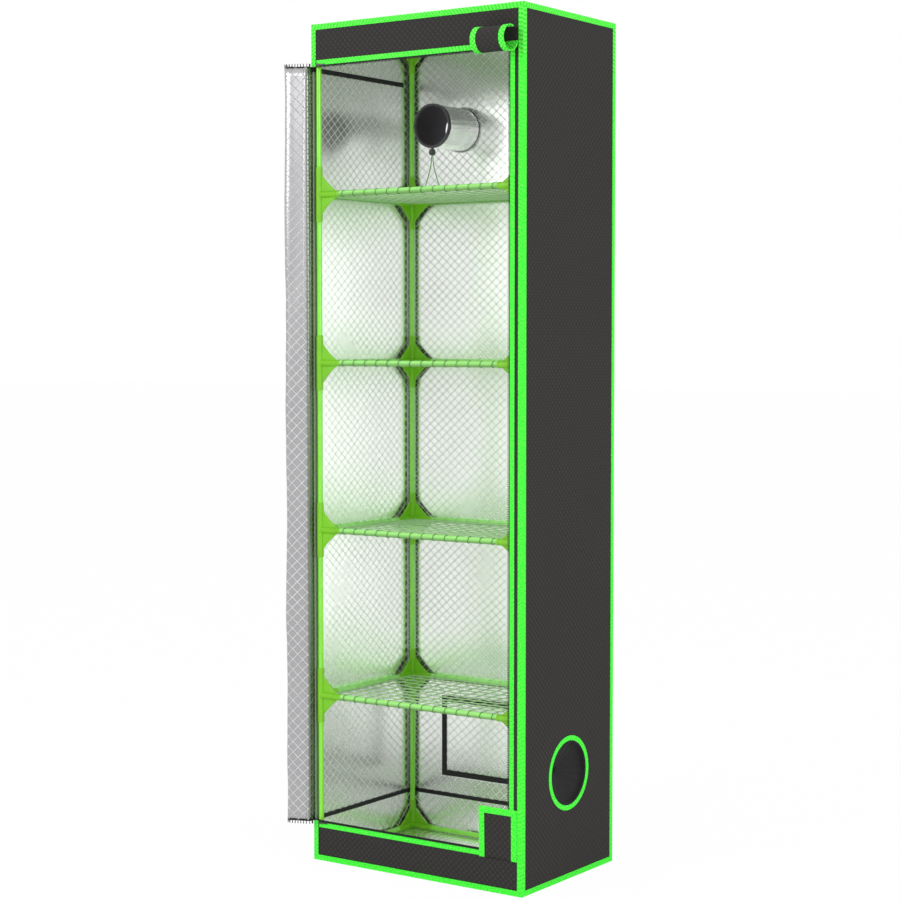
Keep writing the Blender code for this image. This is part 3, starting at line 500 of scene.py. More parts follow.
def knots(centres, radius, flat):
    """Small rounded beads: rings of a sphere at four heights, with six points each, pressed flat."""
    rings, points, pole = 4, 6, 0.35
    height = np.cos(np.linspace(pole, math.pi - pole, rings))
    ring = np.sqrt(1 - height ** 2)
    angle = np.arange(points) * (2 * math.pi / points)
    bead = np.stack([ring[:, None] * np.cos(angle), ring[:, None] * np.sin(angle),
                     np.broadcast_to(height[:, None] * flat, (rings, points))], axis=2) * radius
    first = patch(bead, wrap_columns=True, caps=True)
    centres = np.asarray(centres, float)
    count = len(first["points"])
    return {
        "points": (centres[:, None] + first["points"]).reshape(-1, 3),
        "faces": (np.arange(len(centres))[:, None, None] * count + first["faces"]).reshape(-1, 4),
        "uv": np.tile(first["uv"], (len(centres), 1, 1)),
        "slots": np.tile(first["slots"], len(centres)),
    }


def curved_route(points, spacing):
    """Points along a Catmull-Rom curve through the given ones, about one spacing apart."""
    points = np.asarray(points, float)
    ends = np.concatenate([[2 * points[0] - points[1]], points, [2 * points[-1] - points[-2]]])
    route = []
    for before, start, end, after in zip(ends, ends[1:], ends[2:], ends[3:]):
        steps = max(round(np.linalg.norm(end - start) / spacing), 1)
        share = (np.arange(steps) / steps)[:, None]
        slope, bend = end - before, 2 * before - 5 * start + 4 * end - after
        twist = 3 * (start - end) + after - before
        route.append(start + (slope * share + bend * share ** 2 + twist * share ** 3) / 2)
    return np.concatenate([*route, points[-1:]])


# Finishes


def add_node(tree, kind, inputs=None, **settings):
    """A node with its settings and inputs, each a value or another node's output."""
    made = tree.nodes.new(kind)
    for name, value in settings.items():
        setattr(made, name, value)
    for name, value in (inputs or {}).items():
        if isinstance(value, bpy.types.NodeSocket):
            tree.links.new(value, made.inputs[name])
        else:
            made.inputs[name].default_value = value
    return made


def calc(tree, operation, *values):
    """The result of a Math node."""
    return add_node(tree, "ShaderNodeMath", dict(enumerate(values)), operation=operation).outputs[0]


def product(tree, first, *others):
    """Values multiplied one after the other."""
    for value in others:
        first = calc(tree, "MULTIPLY", first, value)
    return first


def along_axis(tree, vector, axis):
    """One coordinate of a vector."""
    return add_node(tree, "ShaderNodeSeparateXYZ", {0: vector}).outputs[axis]


def spread(tree, value, low, high, to_low=0.0, to_high=1.0, smooth=False):
    """A value moved from one range to another, and held inside it."""
    kind = "SMOOTHSTEP" if smooth else "LINEAR"
    made = add_node(tree, "ShaderNodeMapRange", {"Value": value, "From Min": low, "From Max": high,
                                                 "To Min": to_low, "To Max": to_high}, interpolation_type=kind)
    return made.outputs["Result"]


def noise_at(tree, position, scale, detail, roughness=0.5):
    """The value of a noise texture at a position."""
    inputs = {"Vector": position, "Scale": scale, "Detail": detail, "Roughness": roughness}
    return add_node(tree, "ShaderNodeTexNoise", inputs).outputs[0]


def new_group(name, inputs, outputs):
    """An empty shader group with named sockets, and its two end nodes."""
    tree = bpy.data.node_groups.new(name, "ShaderNodeTree")
    for label, value in inputs.items():
        kind = "NodeSocketVector" if value is None else "NodeSocketFloat"
        made = tree.interface.new_socket(label, in_out="INPUT", socket_type=kind)
        if value is not None:
            made.default_value = value
    for label in outputs:
        tree.interface.new_socket(label, in_out="OUTPUT", socket_type="NodeSocketFloat")
    return tree, tree.nodes.new("NodeGroupInput"), tree.nodes.new("NodeGroupOutput")


def weave_group():
    """Plain weave: at each crossing either the upright or the level thread lies on top, as a half sine.

    Thread is 1 along the middle of an upright thread that lies on top. Fine puts a weave of a sixth of the
    pitch over both.
    """
    tree, start, end = new_group("plain weave", {"Position": None, "Pitch": 0.003}, ("Height", "Thread", "Fine"))
    scale = calc(tree, "DIVIDE", 1.0, start.outputs["Pitch"])
    scaled = add_node(tree, "ShaderNodeVectorMath", {0: start.outputs["Position"], "Scale": scale},
                      operation="SCALE")
    axes = add_node(tree, "ShaderNodeSeparateXYZ", {0: scaled.outputs[0]})
    x, y = axes.outputs["X"], axes.outputs["Y"]
    warp = calc(tree, "ABSOLUTE", calc(tree, "SINE", calc(tree, "MULTIPLY", x, math.pi)))
    weft = calc(tree, "ABSOLUTE", calc(tree, "SINE", calc(tree, "MULTIPLY", y, math.pi)))
    cell = calc(tree, "ADD", calc(tree, "FLOOR", x), calc(tree, "FLOOR", y))
    odd = calc(tree, "FRACT", calc(tree, "ADD", calc(tree, "MULTIPLY", cell, 0.5), 0.01))
    odd = calc(tree, "GREATER_THAN", odd, 0.4)
    top = product(tree, warp, odd, calc(tree, "SQRT", weft))
    below = product(tree, weft, 0.45, calc(tree, "SUBTRACT", 1.0, odd))
    tree.links.new(calc(tree, "ADD", top, below), end.inputs["Height"])
    tree.links.new(spread(tree, top, 0.15, 0.75, smooth=True), end.inputs["Thread"])
    waves = [calc(tree, "SINE", calc(tree, "MULTIPLY", axis, 6 * math.pi)) for axis in (x, y)]
    tree.links.new(calc(tree, "MULTIPLY", *waves), end.inputs["Fine"])
    return tree


def diamond_group():
    """Embossed diamonds: a ridge along each line where u/width + v/height or u/width - v/height is whole."""
    sockets = {"Position": None, "Width": 0.025, "Height": 0.02, "Line": 0.003}
    tree, start, end = new_group("embossed diamonds", sockets, ("Ridge",))
    axes = add_node(tree, "ShaderNodeSeparateXYZ", {0: start.outputs["Position"]})
    width, height = start.outputs["Width"], start.outputs["Height"]
    x, y = calc(tree, "DIVIDE", axes.outputs["X"], width), calc(tree, "DIVIDE", axes.outputs["Y"], height)
    diagonal = calc(tree, "SQRT", calc(tree, "ADD", calc(tree, "MULTIPLY", width, width),
                                       calc(tree, "MULTIPLY", height, height)))
    reach = calc(tree, "DIVIDE", calc(tree, "MULTIPLY", width, height), diagonal)
    half_line = calc(tree, "MULTIPLY", start.outputs["Line"], 0.5)
    ridges = []
    for operation in ("ADD", "SUBTRACT"):
        turns = calc(tree, "FRACT", calc(tree, operation, x, y))
        off = calc(tree, "ABSOLUTE", calc(tree, "SUBTRACT", turns, 0.5))
        away = calc(tree, "MULTIPLY", calc(tree, "SUBTRACT", 0.5, off), reach)
        ridges.append(spread(tree, away, half_line, 0.0, smooth=True))
    tree.links.new(calc(tree, "MAXIMUM", *ridges), end.inputs["Ridge"])
    return tree


def tape_group():
    """Woven tape: fine ribs across it, a noise, and staggered dashes, the product of waves along and across it.

    Bright marks the crests of noise and dashes together, and Deep the troughs. Dashes is how clear the rows are.
    """
    sockets = {"Position": None, "Pitch": 0.009, "Dashes": 0.5}
    tree, start, end = new_group("woven tape", sockets, ("Height", "Bright", "Deep"))
    turn = calc(tree, "DIVIDE", 2 * math.pi, start.outputs["Pitch"])
    axes = add_node(tree, "ShaderNodeSeparateXYZ", {0: start.outputs["Position"]})
    along = calc(tree, "SINE", calc(tree, "MULTIPLY", axes.outputs["X"], turn))
    across = calc(tree, "SINE", calc(tree, "MULTIPLY", axes.outputs["Y"], turn))
    woven = calc(tree, "MULTIPLY", along, across)
    noise = noise_at(tree, start.outputs["Position"], 260.0, 2.0)
    mottle = calc(tree, "ADD", calc(tree, "MULTIPLY", calc(tree, "SUBTRACT", noise, 0.5), 3.8),
                  calc(tree, "MULTIPLY", woven, start.outputs["Dashes"]))
    tree.links.new(spread(tree, mottle, 0.05, 1.0), end.inputs["Bright"])
    tree.links.new(spread(tree, mottle, -0.15, -1.0), end.inputs["Deep"])
    rib = calc(tree, "ABSOLUTE", calc(tree, "SINE", calc(tree, "MULTIPLY", axes.outputs["X"], 2600.0)))
    tree.links.new(calc(tree, "ADD", calc(tree, "MULTIPLY", rib, 0.5), calc(tree, "MULTIPLY", woven, 0.15)),
                   end.inputs["Height"])
    return tree


def wear_group():
    """Handling marks: soft clouds, and a fine grain."""
    sockets = {"Position": None, "Scale": 6.0, "Amount": 0.5}
    tree, start, end = new_group("handling marks", sockets, ("Cloud", "Grain"))
    large = noise_at(tree, start.outputs["Position"], start.outputs["Scale"], 4.0, 0.6)
    cloud = spread(tree, large, 0.35, 0.7)
    tree.links.new(calc(tree, "MULTIPLY", cloud, start.outputs["Amount"]), end.inputs["Cloud"])
    tree.links.new(noise_at(tree, start.outputs["Position"], 900.0, 2.0), end.inputs["Grain"])
    return tree


def group(name):
    """A shared shader group, built the first time it is asked for."""
    makers = {"plain weave": weave_group, "embossed diamonds": diamond_group, "woven tape": tape_group,
              "handling marks": wear_group}
    return bpy.data.node_groups.get(name) or makers[name]()


def blank(name, base, roughness, metallic=0.0, coat=0.0, sheen=0.0, specular=0.5):
    """A new material with its constants set on the shader, and its tree, shader and texture coordinates."""
    made = bpy.data.materials.new(name)
    made.use_nodes = True
    tree = made.node_tree
    shader = tree.nodes["Principled BSDF"]
    values = {"Base Color": base, "Roughness": roughness, "Metallic": metallic, "Coat Weight": coat,
              "Sheen Weight": sheen, "Specular IOR Level": specular}
    for label, value in values.items():
        shader.inputs[label].default_value = value
    return made, tree, shader, tree.nodes.new("ShaderNodeTexCoord")


# The sockets of a Mix node that take and give colours
COLOUR_BELOW, COLOUR_ABOVE, COLOUR_OUT = 6, 7, 2
BLACK = (0.0, 0.0, 0.0, 1.0)


def over(tree, share, below, above):
    """A colour laid over another one by a value. Each is a colour or a node's output."""
    inputs = {"Factor": share, COLOUR_BELOW: below, COLOUR_ABOVE: above}
    return add_node(tree, "ShaderNodeMix", inputs, data_type="RGBA").outputs[COLOUR_OUT]


def height_of(tree, place):
    """Height above the ground, from the object coordinates."""
    return along_axis(tree, place.outputs["Object"], "Z")


def shaded(base, factor):
    """A colour made deeper or paler by a factor, up to white."""
    return (*(min(c * factor, 1.0) for c in base[:3]), 1.0)


def bump(tree, shader, height, distance, strength):
    """A Bump node in front of the shader's normal."""
    made = add_node(tree, "ShaderNodeBump", {"Height": height, "Distance": distance, "Strength": strength})
    tree.links.new(made.outputs["Normal"], shader.inputs["Normal"])


def in_group(tree, name, **inputs):
    """A node of a shared shader group."""
    return add_node(tree, "ShaderNodeGroup", inputs, node_tree=group(name))


def cloth_material():
    """Charcoal oxford cloth: a coarse plain weave whose upright threads are paler, with soft handling marks."""
    base = colour("cloth")
    made, tree, shader, place = blank("oxford cloth", base, 0.85, specular=0.12)
    weave = in_group(tree, "plain weave", Position=place.outputs["UV"], Pitch=sizes().weave_pitch)
    marks = in_group(tree, "handling marks", Position=place.outputs["Object"], Scale=7.0, Amount=0.35)
    tone = calc(tree, "ADD", calc(tree, "MULTIPLY", weave.outputs["Thread"], 0.62),
                calc(tree, "MULTIPLY", weave.outputs["Fine"], 0.10))
    tone = calc(tree, "ADD", tone, calc(tree, "MULTIPLY", marks.outputs["Cloud"], 0.4))
    tree.links.new(over(tree, tone, shaded(base, 0.78), shaded(base, 1.32)), shader.inputs["Base Color"])
    tree.links.new(spread(tree, marks.outputs["Cloud"], 0.0, 0.35, 0.80, 0.90), shader.inputs["Roughness"])
    bump(tree, shader, weave.outputs["Height"], 0.0004, 0.5)
    return made


def painted_reflection_glow(tree, shader, place, film):
    """After two reflections between films, the film's own colour fades and a painted glow stands in for the rest of
    them.

    The film glows though it is no lamp. The glow is strongest at the middle of a bay and falls off, as painted shade,
    towards the shelves, floor, roof and back posts.
    """
    bright, strength = (0.97, 1.0, 0.965, 1.0), 1.9
    path = tree.nodes.new("ShaderNodeLightPath")
    deep = calc(tree, "GREATER_THAN", path.outputs["Glossy Depth"], 1.5)
    z = height_of(tree, place)
    bay = calc(tree, "FRACT", calc(tree, "DIVIDE", z, BAY_HEIGHT))
    from_middle = calc(tree, "ABSOLUTE", calc(tree, "SUBTRACT", bay, 0.5))
    x, y, _ = add_node(tree, "ShaderNodeSeparateXYZ", {0: place.outputs["Object"]}).outputs
    to_side = calc(tree, "SUBTRACT", WALL_HIGH[0], calc(tree, "ABSOLUTE", x))
    to_corner = calc(tree, "ADD", to_side, calc(tree, "SUBTRACT", BACK_HIGH[1], y))
    near_shelf = spread(tree, from_middle, 0.2, 0.5, 1.0, 0.68, smooth=True)
    near_floor = spread(tree, z, 0.08, 0.42, 0.27, 1.0, smooth=True)
    near_roof = spread(tree, z, 1.55, 1.83, 1.0, 0.17, smooth=True)
    near_post = spread(tree, to_corner, 0.022, 0.055, 0.25, 1.0, smooth=True)
    # Painted glow in place of further reflections, with painted shade near shelves, floor, roof and back posts
    glow = product(tree, near_shelf, near_floor, near_roof, near_post, deep)
    tree.links.new(over(tree, deep, film, BLACK), shader.inputs["Base Color"])
    tree.links.new(over(tree, glow, BLACK, bright), shader.inputs["Emission Color"])
    shader.inputs["Emission Strength"].default_value = strength


def wall_colour_and_painted_light(tree, place, film, ridge):
    """The lining and its lines, which are grey in the middle of a bay and pale near shelves, floor and roof.

    The lines' grey and pale are painted light and shade, set by where they stand in a bay.
    """
    pale, grey = (0.97, 0.98, 0.97, 1.0), (0.66, 0.68, 0.66, 1.0)
    z = height_of(tree, place)
    share = spread(tree, calc(tree, "FRACT", calc(tree, "DIVIDE", z, BAY_HEIGHT)), 0.22, 0.42, smooth=True)
    share = calc(tree, "MAXIMUM", share, calc(tree, "GREATER_THAN", z, SHELVES[-1]))
    share = product(tree, share, spread(tree, z, 0.36, 0.46, smooth=True),
                    spread(tree, z, 1.70, 1.80, 1.0, 0.0, smooth=True))
    # Painted light and shade: the ridge colour is grey or pale by height in the bay
    return over(tree, ridge, film, over(tree, share, pale, grey))


def door_colour_and_painted_light(tree, place, film, ridge):
    """The door's film and its lines, with painted light and shade.

    It is painted paler near the top, where the lines are dull, and grey beside its seam, as painted shade of the fold
    and a painted reflection of the seam tape.
    """
    pale, dull = (0.80, 0.81, 0.80, 1.0), (0.36, 0.36, 0.37, 1.0)
    # Painted light: towards the top the film is painted paler and its lines duller
    high = spread(tree, height_of(tree, place), 1.20, 1.80, smooth=True)
    film = over(tree, high, film, shaded(colour("door_film"), 1.12))
    film = over(tree, ridge, film, over(tree, high, pale, dull))
    # Painted shade and painted reflection of the seam tape, in a band beside the seam
    run = along_axis(tree, place.outputs["UV"], "X")
    return over(tree, spread(tree, run, 0.027, 0.021, smooth=True), film, colour("seam_shade"))


def film_material(name, base, height, relief, coloured):
    """Silver film: embossed diamonds on a bright metallic sheet that is cloudier in places.

    Along the ridges the film is duller, so that they look pale on a dark reflection and grey on a bright one.
    The bump joins the ridges, of a given relief, and shallow creases.
    """
    roughness, crease_depth = 0.22, 0.0009
    made, tree, shader, place = blank(name, base, roughness, metallic=1.0)
    pattern = in_group(tree, "embossed diamonds", Position=place.outputs["UV"], Width=sizes().diamond_width,
                       Height=height, Line=sizes().diamond_line)
    marks = in_group(tree, "handling marks", Position=place.outputs["Object"], Scale=5.0, Amount=1.0)
    ridge = pattern.outputs["Ridge"]
    plain = spread(tree, marks.outputs["Cloud"], 0.0, 1.0, roughness, roughness + 0.06)
    tree.links.new(calc(tree, "ADD", plain, calc(tree, "MULTIPLY", ridge, 0.16)), shader.inputs["Roughness"])
    tree.links.new(calc(tree, "SUBTRACT", 1.0, calc(tree, "MULTIPLY", ridge, 0.45)), shader.inputs["Metallic"])
    film = over(tree, marks.outputs["Cloud"], base, shaded(base, 0.96))
    # Painted light: a glow stands in for further reflections, and the lines are painted pale or grey
    painted_reflection_glow(tree, shader, place, coloured(tree, place, film, ridge))
    crease = calc(tree, "MULTIPLY", noise_at(tree, place.outputs["Object"], 9.0, 2.0), crease_depth / relief)
    bump(tree, shader, calc(tree, "ADD", calc(tree, "MULTIPLY", ridge, 0.7), crease), relief, 0.8)
    return made


def duct_film_material():
    """Plain silver film, crinkled in fine creases that run along the sleeve."""
    base = colour("duct_film")
    made, tree, shader, place = blank("duct film", base, 0.14, metallic=0.95)
    stretch = add_node(tree, "ShaderNodeMapping",
                       {"Vector": place.outputs["Object"], "Scale": (150.0, 12.0, 150.0)})
    marks = in_group(tree, "handling marks", Position=place.outputs["Object"], Scale=22.0, Amount=1.0)
    tree.links.new(over(tree, marks.outputs["Cloud"], base, shaded(base, 0.85)), shader.inputs["Base Color"])
    tree.links.new(spread(tree, marks.outputs["Cloud"], 0.0, 1.0, 0.12, 0.22), shader.inputs["Roughness"])
    bump(tree, shader, noise_at(tree, stretch.outputs[0], 1.0, 4.0), 0.0022, 0.8)
    return made


def tape_material():
    """Neon green woven tape: brighter and deeper cells over fine ribs, in clear rows of dashes on the header."""
    base = colour("tape")
    made, tree, shader, place = blank("green tape", base, 0.7, specular=0.15)
    dashes = spread(tree, height_of(tree, place), 1.88, 1.89, 0.4, 1.3)
    woven = in_group(tree, "woven tape", Position=place.outputs["UV"], Pitch=0.0095, Dashes=dashes)
    deep = (base[0] * 0.4, base[1] * 0.66, base[2] * 0.5, 1.0)
    bright = (base[0] * 6.0, base[1], base[2] * 4.0, 1.0)
    crests = over(tree, woven.outputs["Bright"], base, bright)
    tree.links.new(over(tree, woven.outputs["Deep"], crests, deep), shader.inputs["Base Color"])
    bump(tree, shader, woven.outputs["Height"], 0.0003, 0.5)
    return made


def coated_material(name, base, roughness, coat):
    """Powder coat or moulded plastic: a fine orange peel, soft duller patches, and painted shade on faces towards a
    wall.
    """
    made, tree, shader, place = blank(name, base, roughness, coat=coat)
    marks = in_group(tree, "handling marks", Position=place.outputs["Object"], Scale=18.0, Amount=1.0)
    # Painted shade: faces that look at a wall are darkened to a tenth of the colour
    wall_shade_share = add_node(tree, "ShaderNodeAttribute", attribute_name="painted_wall_shade").outputs["Fac"]
    patchy = over(tree, marks.outputs["Cloud"], base, shaded(base, 0.88))
    tree.links.new(over(tree, spread(tree, wall_shade_share, 0.1, 0.8, smooth=True), patchy, shaded(base, 0.10)),
                   shader.inputs["Base Color"])
    tree.links.new(spread(tree, marks.outputs["Cloud"], 0.0, 1.0, roughness, roughness + 0.1),
                   shader.inputs["Roughness"])
    bump(tree, shader, marks.outputs["Grain"], 0.00012, 0.5)
    return made


def cord_material(name, base, pitch=0.0022):
    """Braided cord: a fine weave round and along it, paler on the raised yarns.

    The paler raised yarns and darker hollows between them are painted light and shade.
    """
    made, tree, shader, place = blank(name, base, 0.7, sheen=0.08, specular=0.3)
    weave = in_group(tree, "plain weave", Position=place.outputs["UV"], Pitch=pitch)
    # Painted light and shade: paler on raised yarns, darker in the hollows, by the weave's height
    tree.links.new(over(tree, weave.outputs["Height"], shaded(base, 0.75), shaded(base, 1.3)),
                   shader.inputs["Base Color"])
    bump(tree, shader, weave.outputs["Height"], 0.0002, 0.6)
    return made


def net_hem_material():
    """The net's wrapped hem: fine weave, darker on its underside, a soft band from 16 to 40 mm round the rod.

    The darker underside is painted shade, and the weave's paler raised yarns are painted light.
    """
    base = colour("net_hem")
    made, tree, shader, place = blank("net hem", base, 0.6, specular=0.35)
    weave = in_group(tree, "plain weave", Position=place.outputs["UV"], Pitch=0.0022)
    around = along_axis(tree, place.outputs["UV"], "Y")
    # Painted shade on the hem's underside
    under = calc(tree, "MULTIPLY", spread(tree, around, 0.0165, 0.0265, smooth=True),
                 spread(tree, around, 0.0400, 0.0360, smooth=True))
    # Painted light and shade: raised yarns a little paler than the hollows
    woven = over(tree, weave.outputs["Height"], shaded(base, 0.92), shaded(base, 1.08))
    tree.links.new(over(tree, under, woven, shaded(base, 0.50)), shader.inputs["Base Color"])
    bump(tree, shader, weave.outputs["Height"], 0.0002, 0.4)
    return made


def metal_material():
    """Die-cast slider metal, duller and darker in small clouds."""
    base = colour("metal")
    made, tree, shader, place = blank("slider metal", base, 0.25, metallic=1.0)
    marks = in_group(tree, "handling marks", Position=place.outputs["Object"], Scale=90.0, Amount=1.0)
    tree.links.new(spread(tree, marks.outputs["Cloud"], 0.0, 1.0, 0.3, 0.5), shader.inputs["Roughness"])
    tree.links.new(over(tree, marks.outputs["Cloud"], base, shaded(base, 0.8)), shader.inputs["Base Color"])
    return made


FINISHES = {}


def finish(name):
    """A finish by name, made the first time it is asked for."""
    makers = {
        "cloth": cloth_material,
        "silver": lambda: film_material("silver film", colour("silver"), sizes().diamond_height, 0.0021,
                                        wall_colour_and_painted_light),
        "door film": lambda: film_material("door film", colour("door_film"), sizes().diamond_width, 0.0009,
                                           door_colour_and_painted_light),
        "tape": tape_material,
        "steel": lambda: coated_material("green powder coat", colour("steel"), 0.22, 0.7),
        "connector": lambda: coated_material("green plastic", colour("connector"), 0.42, 0.0),
        "plastic": lambda: coated_material("dark plastic", colour("plastic"), 0.45, 0.0),
        "net": lambda: cord_material("net cord", colour("net")),
        "net hem": net_hem_material,
        # The seam tape's colour is a painted reflection of the front left post
        "seam": lambda: cord_material("seam painted reflection", colour("seam")),
        "duct film": duct_film_material,
        "lining": lambda: cord_material("black lining", colour("lining"), 0.0060),
        "hem": lambda: cord_material("hem tape", colour("hem")),
        "lacing": lambda: cord_material("lacing cord", colour("lacing")),
        "drawcord": lambda: cord_material("drawcord braid", colour("drawcord"), 0.0016),
        "black": lambda: cord_material("black webbing", colour("black"), 0.0016),
        "metal": metal_material,
    }
    if name not in FINISHES:
        FINISHES[name] = makers[name]()
    return FINISHES[name]


# Pieces of the tent


def finish_node(name, finish_name):
    """Gives a CAD node one finish."""
    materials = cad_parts[name].data.materials
    materials.clear()
    materials.append(finish(finish_name))


def skin_piece(name, shape, node):
    """A piece of the skin: charcoal cloth outside and silver film inside."""
    return piece(name, [shape], [finish("cloth"), finish("silver")], [node], closed=False,
                 thickness=sizes().cloth_thickness)


def add_side_walls():
    """The right wall with the hole of the round port, and the left wall, stretched over the posts."""
    slack = sizes().cloth_slack
    low_y, high_y, low_z, high_z = WALL_LOW[1], WALL_HIGH[1], WALL_LOW[2], WALL_HIGH[2]
    box = (low_y, high_y, low_z, high_z)
    half = 0.1

    def right_place(y, z):
        out = billow(y, z, box, slack, 3, [(0, PORT_Z, 0, 0, PORT_RADIUS + 0.02)])
        return np.stack([WALL_HIGH[0] + out, y, z], axis=1)

    u = lines(CLOTH_STEP, low_y, -half, half, high_y)
    v = lines(CLOTH_STEP, low_z, PORT_Z - half, PORT_Z + half, high_z)
    shape = cut_sheet(u, v, right_place, holes=[(0, PORT_Z, PORT_RADIUS, half)])
    made = skin_piece("right_wall_cloth", shape, "right_wall")

    def left_place(y, z):
        return np.stack([-WALL_HIGH[0] - billow(y, z, box, slack, 5), y, z], axis=1)

    u, v = lines(CLOTH_STEP, low_y, high_y), lines(2 * CLOTH_STEP, low_z, high_z)
    shape = cut_sheet(u, v, left_place, flip=True)
    made = skin_piece("left_wall_cloth", shape, "left_wall")


def add_back_wall():
    """The back wall, with the hole of the duct and the window behind the vent flap."""
    slack = sizes().cloth_slack
    low_x, high_x, low_z, high_z = BACK_LOW[0], BACK_HIGH[0], WALL_LOW[2], WALL_HIGH[2]
    box = (low_x, high_x, low_z, high_z)
    gap, half = 0.0003, 0.08
    mesh_low, mesh_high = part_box("vent_mesh")
    window = (mesh_low[0] - gap, mesh_high[0] + gap, mesh_low[2] - gap, mesh_high[2] + gap)
    still = [(DUCT_X, DUCT_Z, 0, 0, 0.075),
             (0, (window[2] + window[3]) / 2, window[1], (window[3] - window[2]) / 2, 0.02)]

    def back_place(x, z):
        return np.stack([x, BACK_HIGH[1] + billow(x, z, box, slack, 7, still), z], axis=1)

    # The window's own lines are left out where they would cross the block of the duct's hole
    block = np.linspace(DUCT_X - half, DUCT_X + half, 9)
    u = lines(CLOTH_STEP, low_x, DUCT_X - half, DUCT_X + half, high_x)
    u = np.unique(np.concatenate([u, window[:2]]).round(7))
    u = u[(u < DUCT_X - half + 1e-6) | (u > DUCT_X + half - 1e-6) | np.isin(u.round(7), block.round(7))]
    v = lines(CLOTH_STEP, low_z, window[2], window[3], DUCT_Z - half, DUCT_Z + half, high_z)
    hole = (DUCT_X, DUCT_Z, DUCT_RADIUS + gap, half)
    made = skin_piece("back_wall_cloth", cut_sheet(u, v, back_place, [window], [hole], flip=True), "back_wall")


def add_roof_and_floor():
    """The roof, which stands out a little between its rods, and the flat floor."""
    slack = sizes().cloth_slack
    roof = (ROOF_LOW[0], ROOF_HIGH[0], ROOF_LOW[1], ROOF_HIGH[1])
    floor = (FLOOR_LOW[0], FLOOR_HIGH[0], FLOOR_LOW[1], FLOOR_HIGH[1])

    def roof_place(x, y):
        return np.stack([x, y, ROOF_HIGH[2] + billow(x, y, roof, slack, 11)], axis=1)

    def floor_place(x, y):
        return np.stack([x, y, np.full(len(x), FLOOR_LOW[2])], axis=1)

    for name, box, place, flip, carriers in (
            ("roof_panel", roof, roof_place, False, ["front_rod_6", "back_rod_6"]),
            ("floor_panel", floor, floor_place, True, ["floor_tray"])):
        made = skin_piece(f"{name}_cloth", whole_sheet(box, ROOF_STEP, place, flip), name)


def add_front():
    """The three parts of the front round the door opening: header, strip and skirt."""
    parts = {
        "front_header": (PANEL_LOW[0], PANEL_HIGH[0], OPENING_TOP, PANEL_HIGH[2]),
        "front_strip": (OPENING_RIGHT, PANEL_HIGH[0], OPENING_BOTTOM, OPENING_TOP),
        "front_skirt": (PANEL_LOW[0], PANEL_HIGH[0], PANEL_LOW[2], OPENING_BOTTOM),
    }
    for name, box in parts.items():
        def front_place(x, z):
            return np.stack([x, PANEL_LOW[1] - billow(x, z, box, 0.0005, 17, edge=0.02), z], axis=1)

        made = skin_piece(name, whole_sheet(box, CLOTH_STEP, front_place), "front_panel")


def add_edge_tapes():
    """Green tape folded over the twelve edges of the tent, mitred at its eight corners.

    Its flange on the front is narrow beside the door opening, where the door is sewn on.
    """
    runs = []
    for x, in_x in ((LEFT, 1), (RIGHT, -1)):
        for y, in_y in ((FRONT, 1), (BACK, -1)):
            ways = ((in_x, 0, 0), (0, in_y, 0))
            if (x, y) == (LEFT, FRONT):
                foot, low, high, top = ((x, y, z) for z in (FOOT, OPENING_BOTTOM, OPENING_TOP, TOP))
                runs.append(corner_tape(foot, low, *ways, mitre=(True, False)))
                runs.append(corner_tape(high, top, *ways, mitre=(False, True)))
                runs.append(corner_tape(low, high, *ways, mitre=(False, False), width_a=SEAM_FLANGE_WIDTH))
            else:
                runs.append(corner_tape((x, y, FOOT), (x, y, TOP), *ways, rows=100))
    for z, in_z in ((FOOT, 1), (TOP, -1)):
        for y, in_y in ((FRONT, 1), (BACK, -1)):
            runs.append(corner_tape((LEFT, y, z), (RIGHT, y, z), (0, in_y, 0), (0, 0, in_z)))
        for x, in_x in ((LEFT, 1), (RIGHT, -1)):
            runs.append(corner_tape((x, FRONT, z), (x, BACK, z), (in_x, 0, 0), (0, 0, in_z)))
    piece("edge_tapes", runs, [finish("tape")], ["edge_binding"])


def add_opening_trim():
    """Green tape round the door opening, and inside it the zip's fixed tape with its row of teeth."""
    thick, pitch = sizes().tape_thickness, sizes().tooth_pitch
    left, right, low, high = BINDING_START, OPENING_RIGHT, OPENING_BOTTOM, OPENING_TOP
    outward = np.array([(0, 1), (1, 1), (1, -1), (0, -1)])
    path = np.array([(left, high), (right, high), (right, low), (left, low)])
    inner = path + outward * (ZIP_BAND + TAPE_GAP)
    tape = path_tape(inner, outward, BINDING_WIDTH, FRONT - 0.0001, FRONT + thick)
    piece("opening_tape", [tape], [finish("tape")], ["opening_binding"])
    band = path_tape(path + outward * (ZIP_BAND - 0.0012), outward, 0.0013, FRONT + 0.0001, FRONT + thick)
    inset, half_depth, half_length, half_width = 0.0008, 0.0007, 0.0021, pitch * 0.21
    along_x, along_z = np.arange(left + pitch, right, pitch), np.arange(low + pitch, high, pitch)
    y = FRONT + 0.0002
    rows = [np.stack([along_x, np.full(len(along_x), y), np.full(len(along_x), z)], axis=1)
            for z in (high - inset, low + inset)]
    flat = blocks(np.concatenate(rows), (half_width, half_depth, half_length), np.eye(3))
    side = np.stack([np.full(len(along_z), right - inset), np.full(len(along_z), y), along_z], axis=1)
    upright = blocks(side, (half_length, half_depth, half_width), np.eye(3))
    piece("zip_tape", [band, flat, upright], [finish("black")], ["zip_track"])


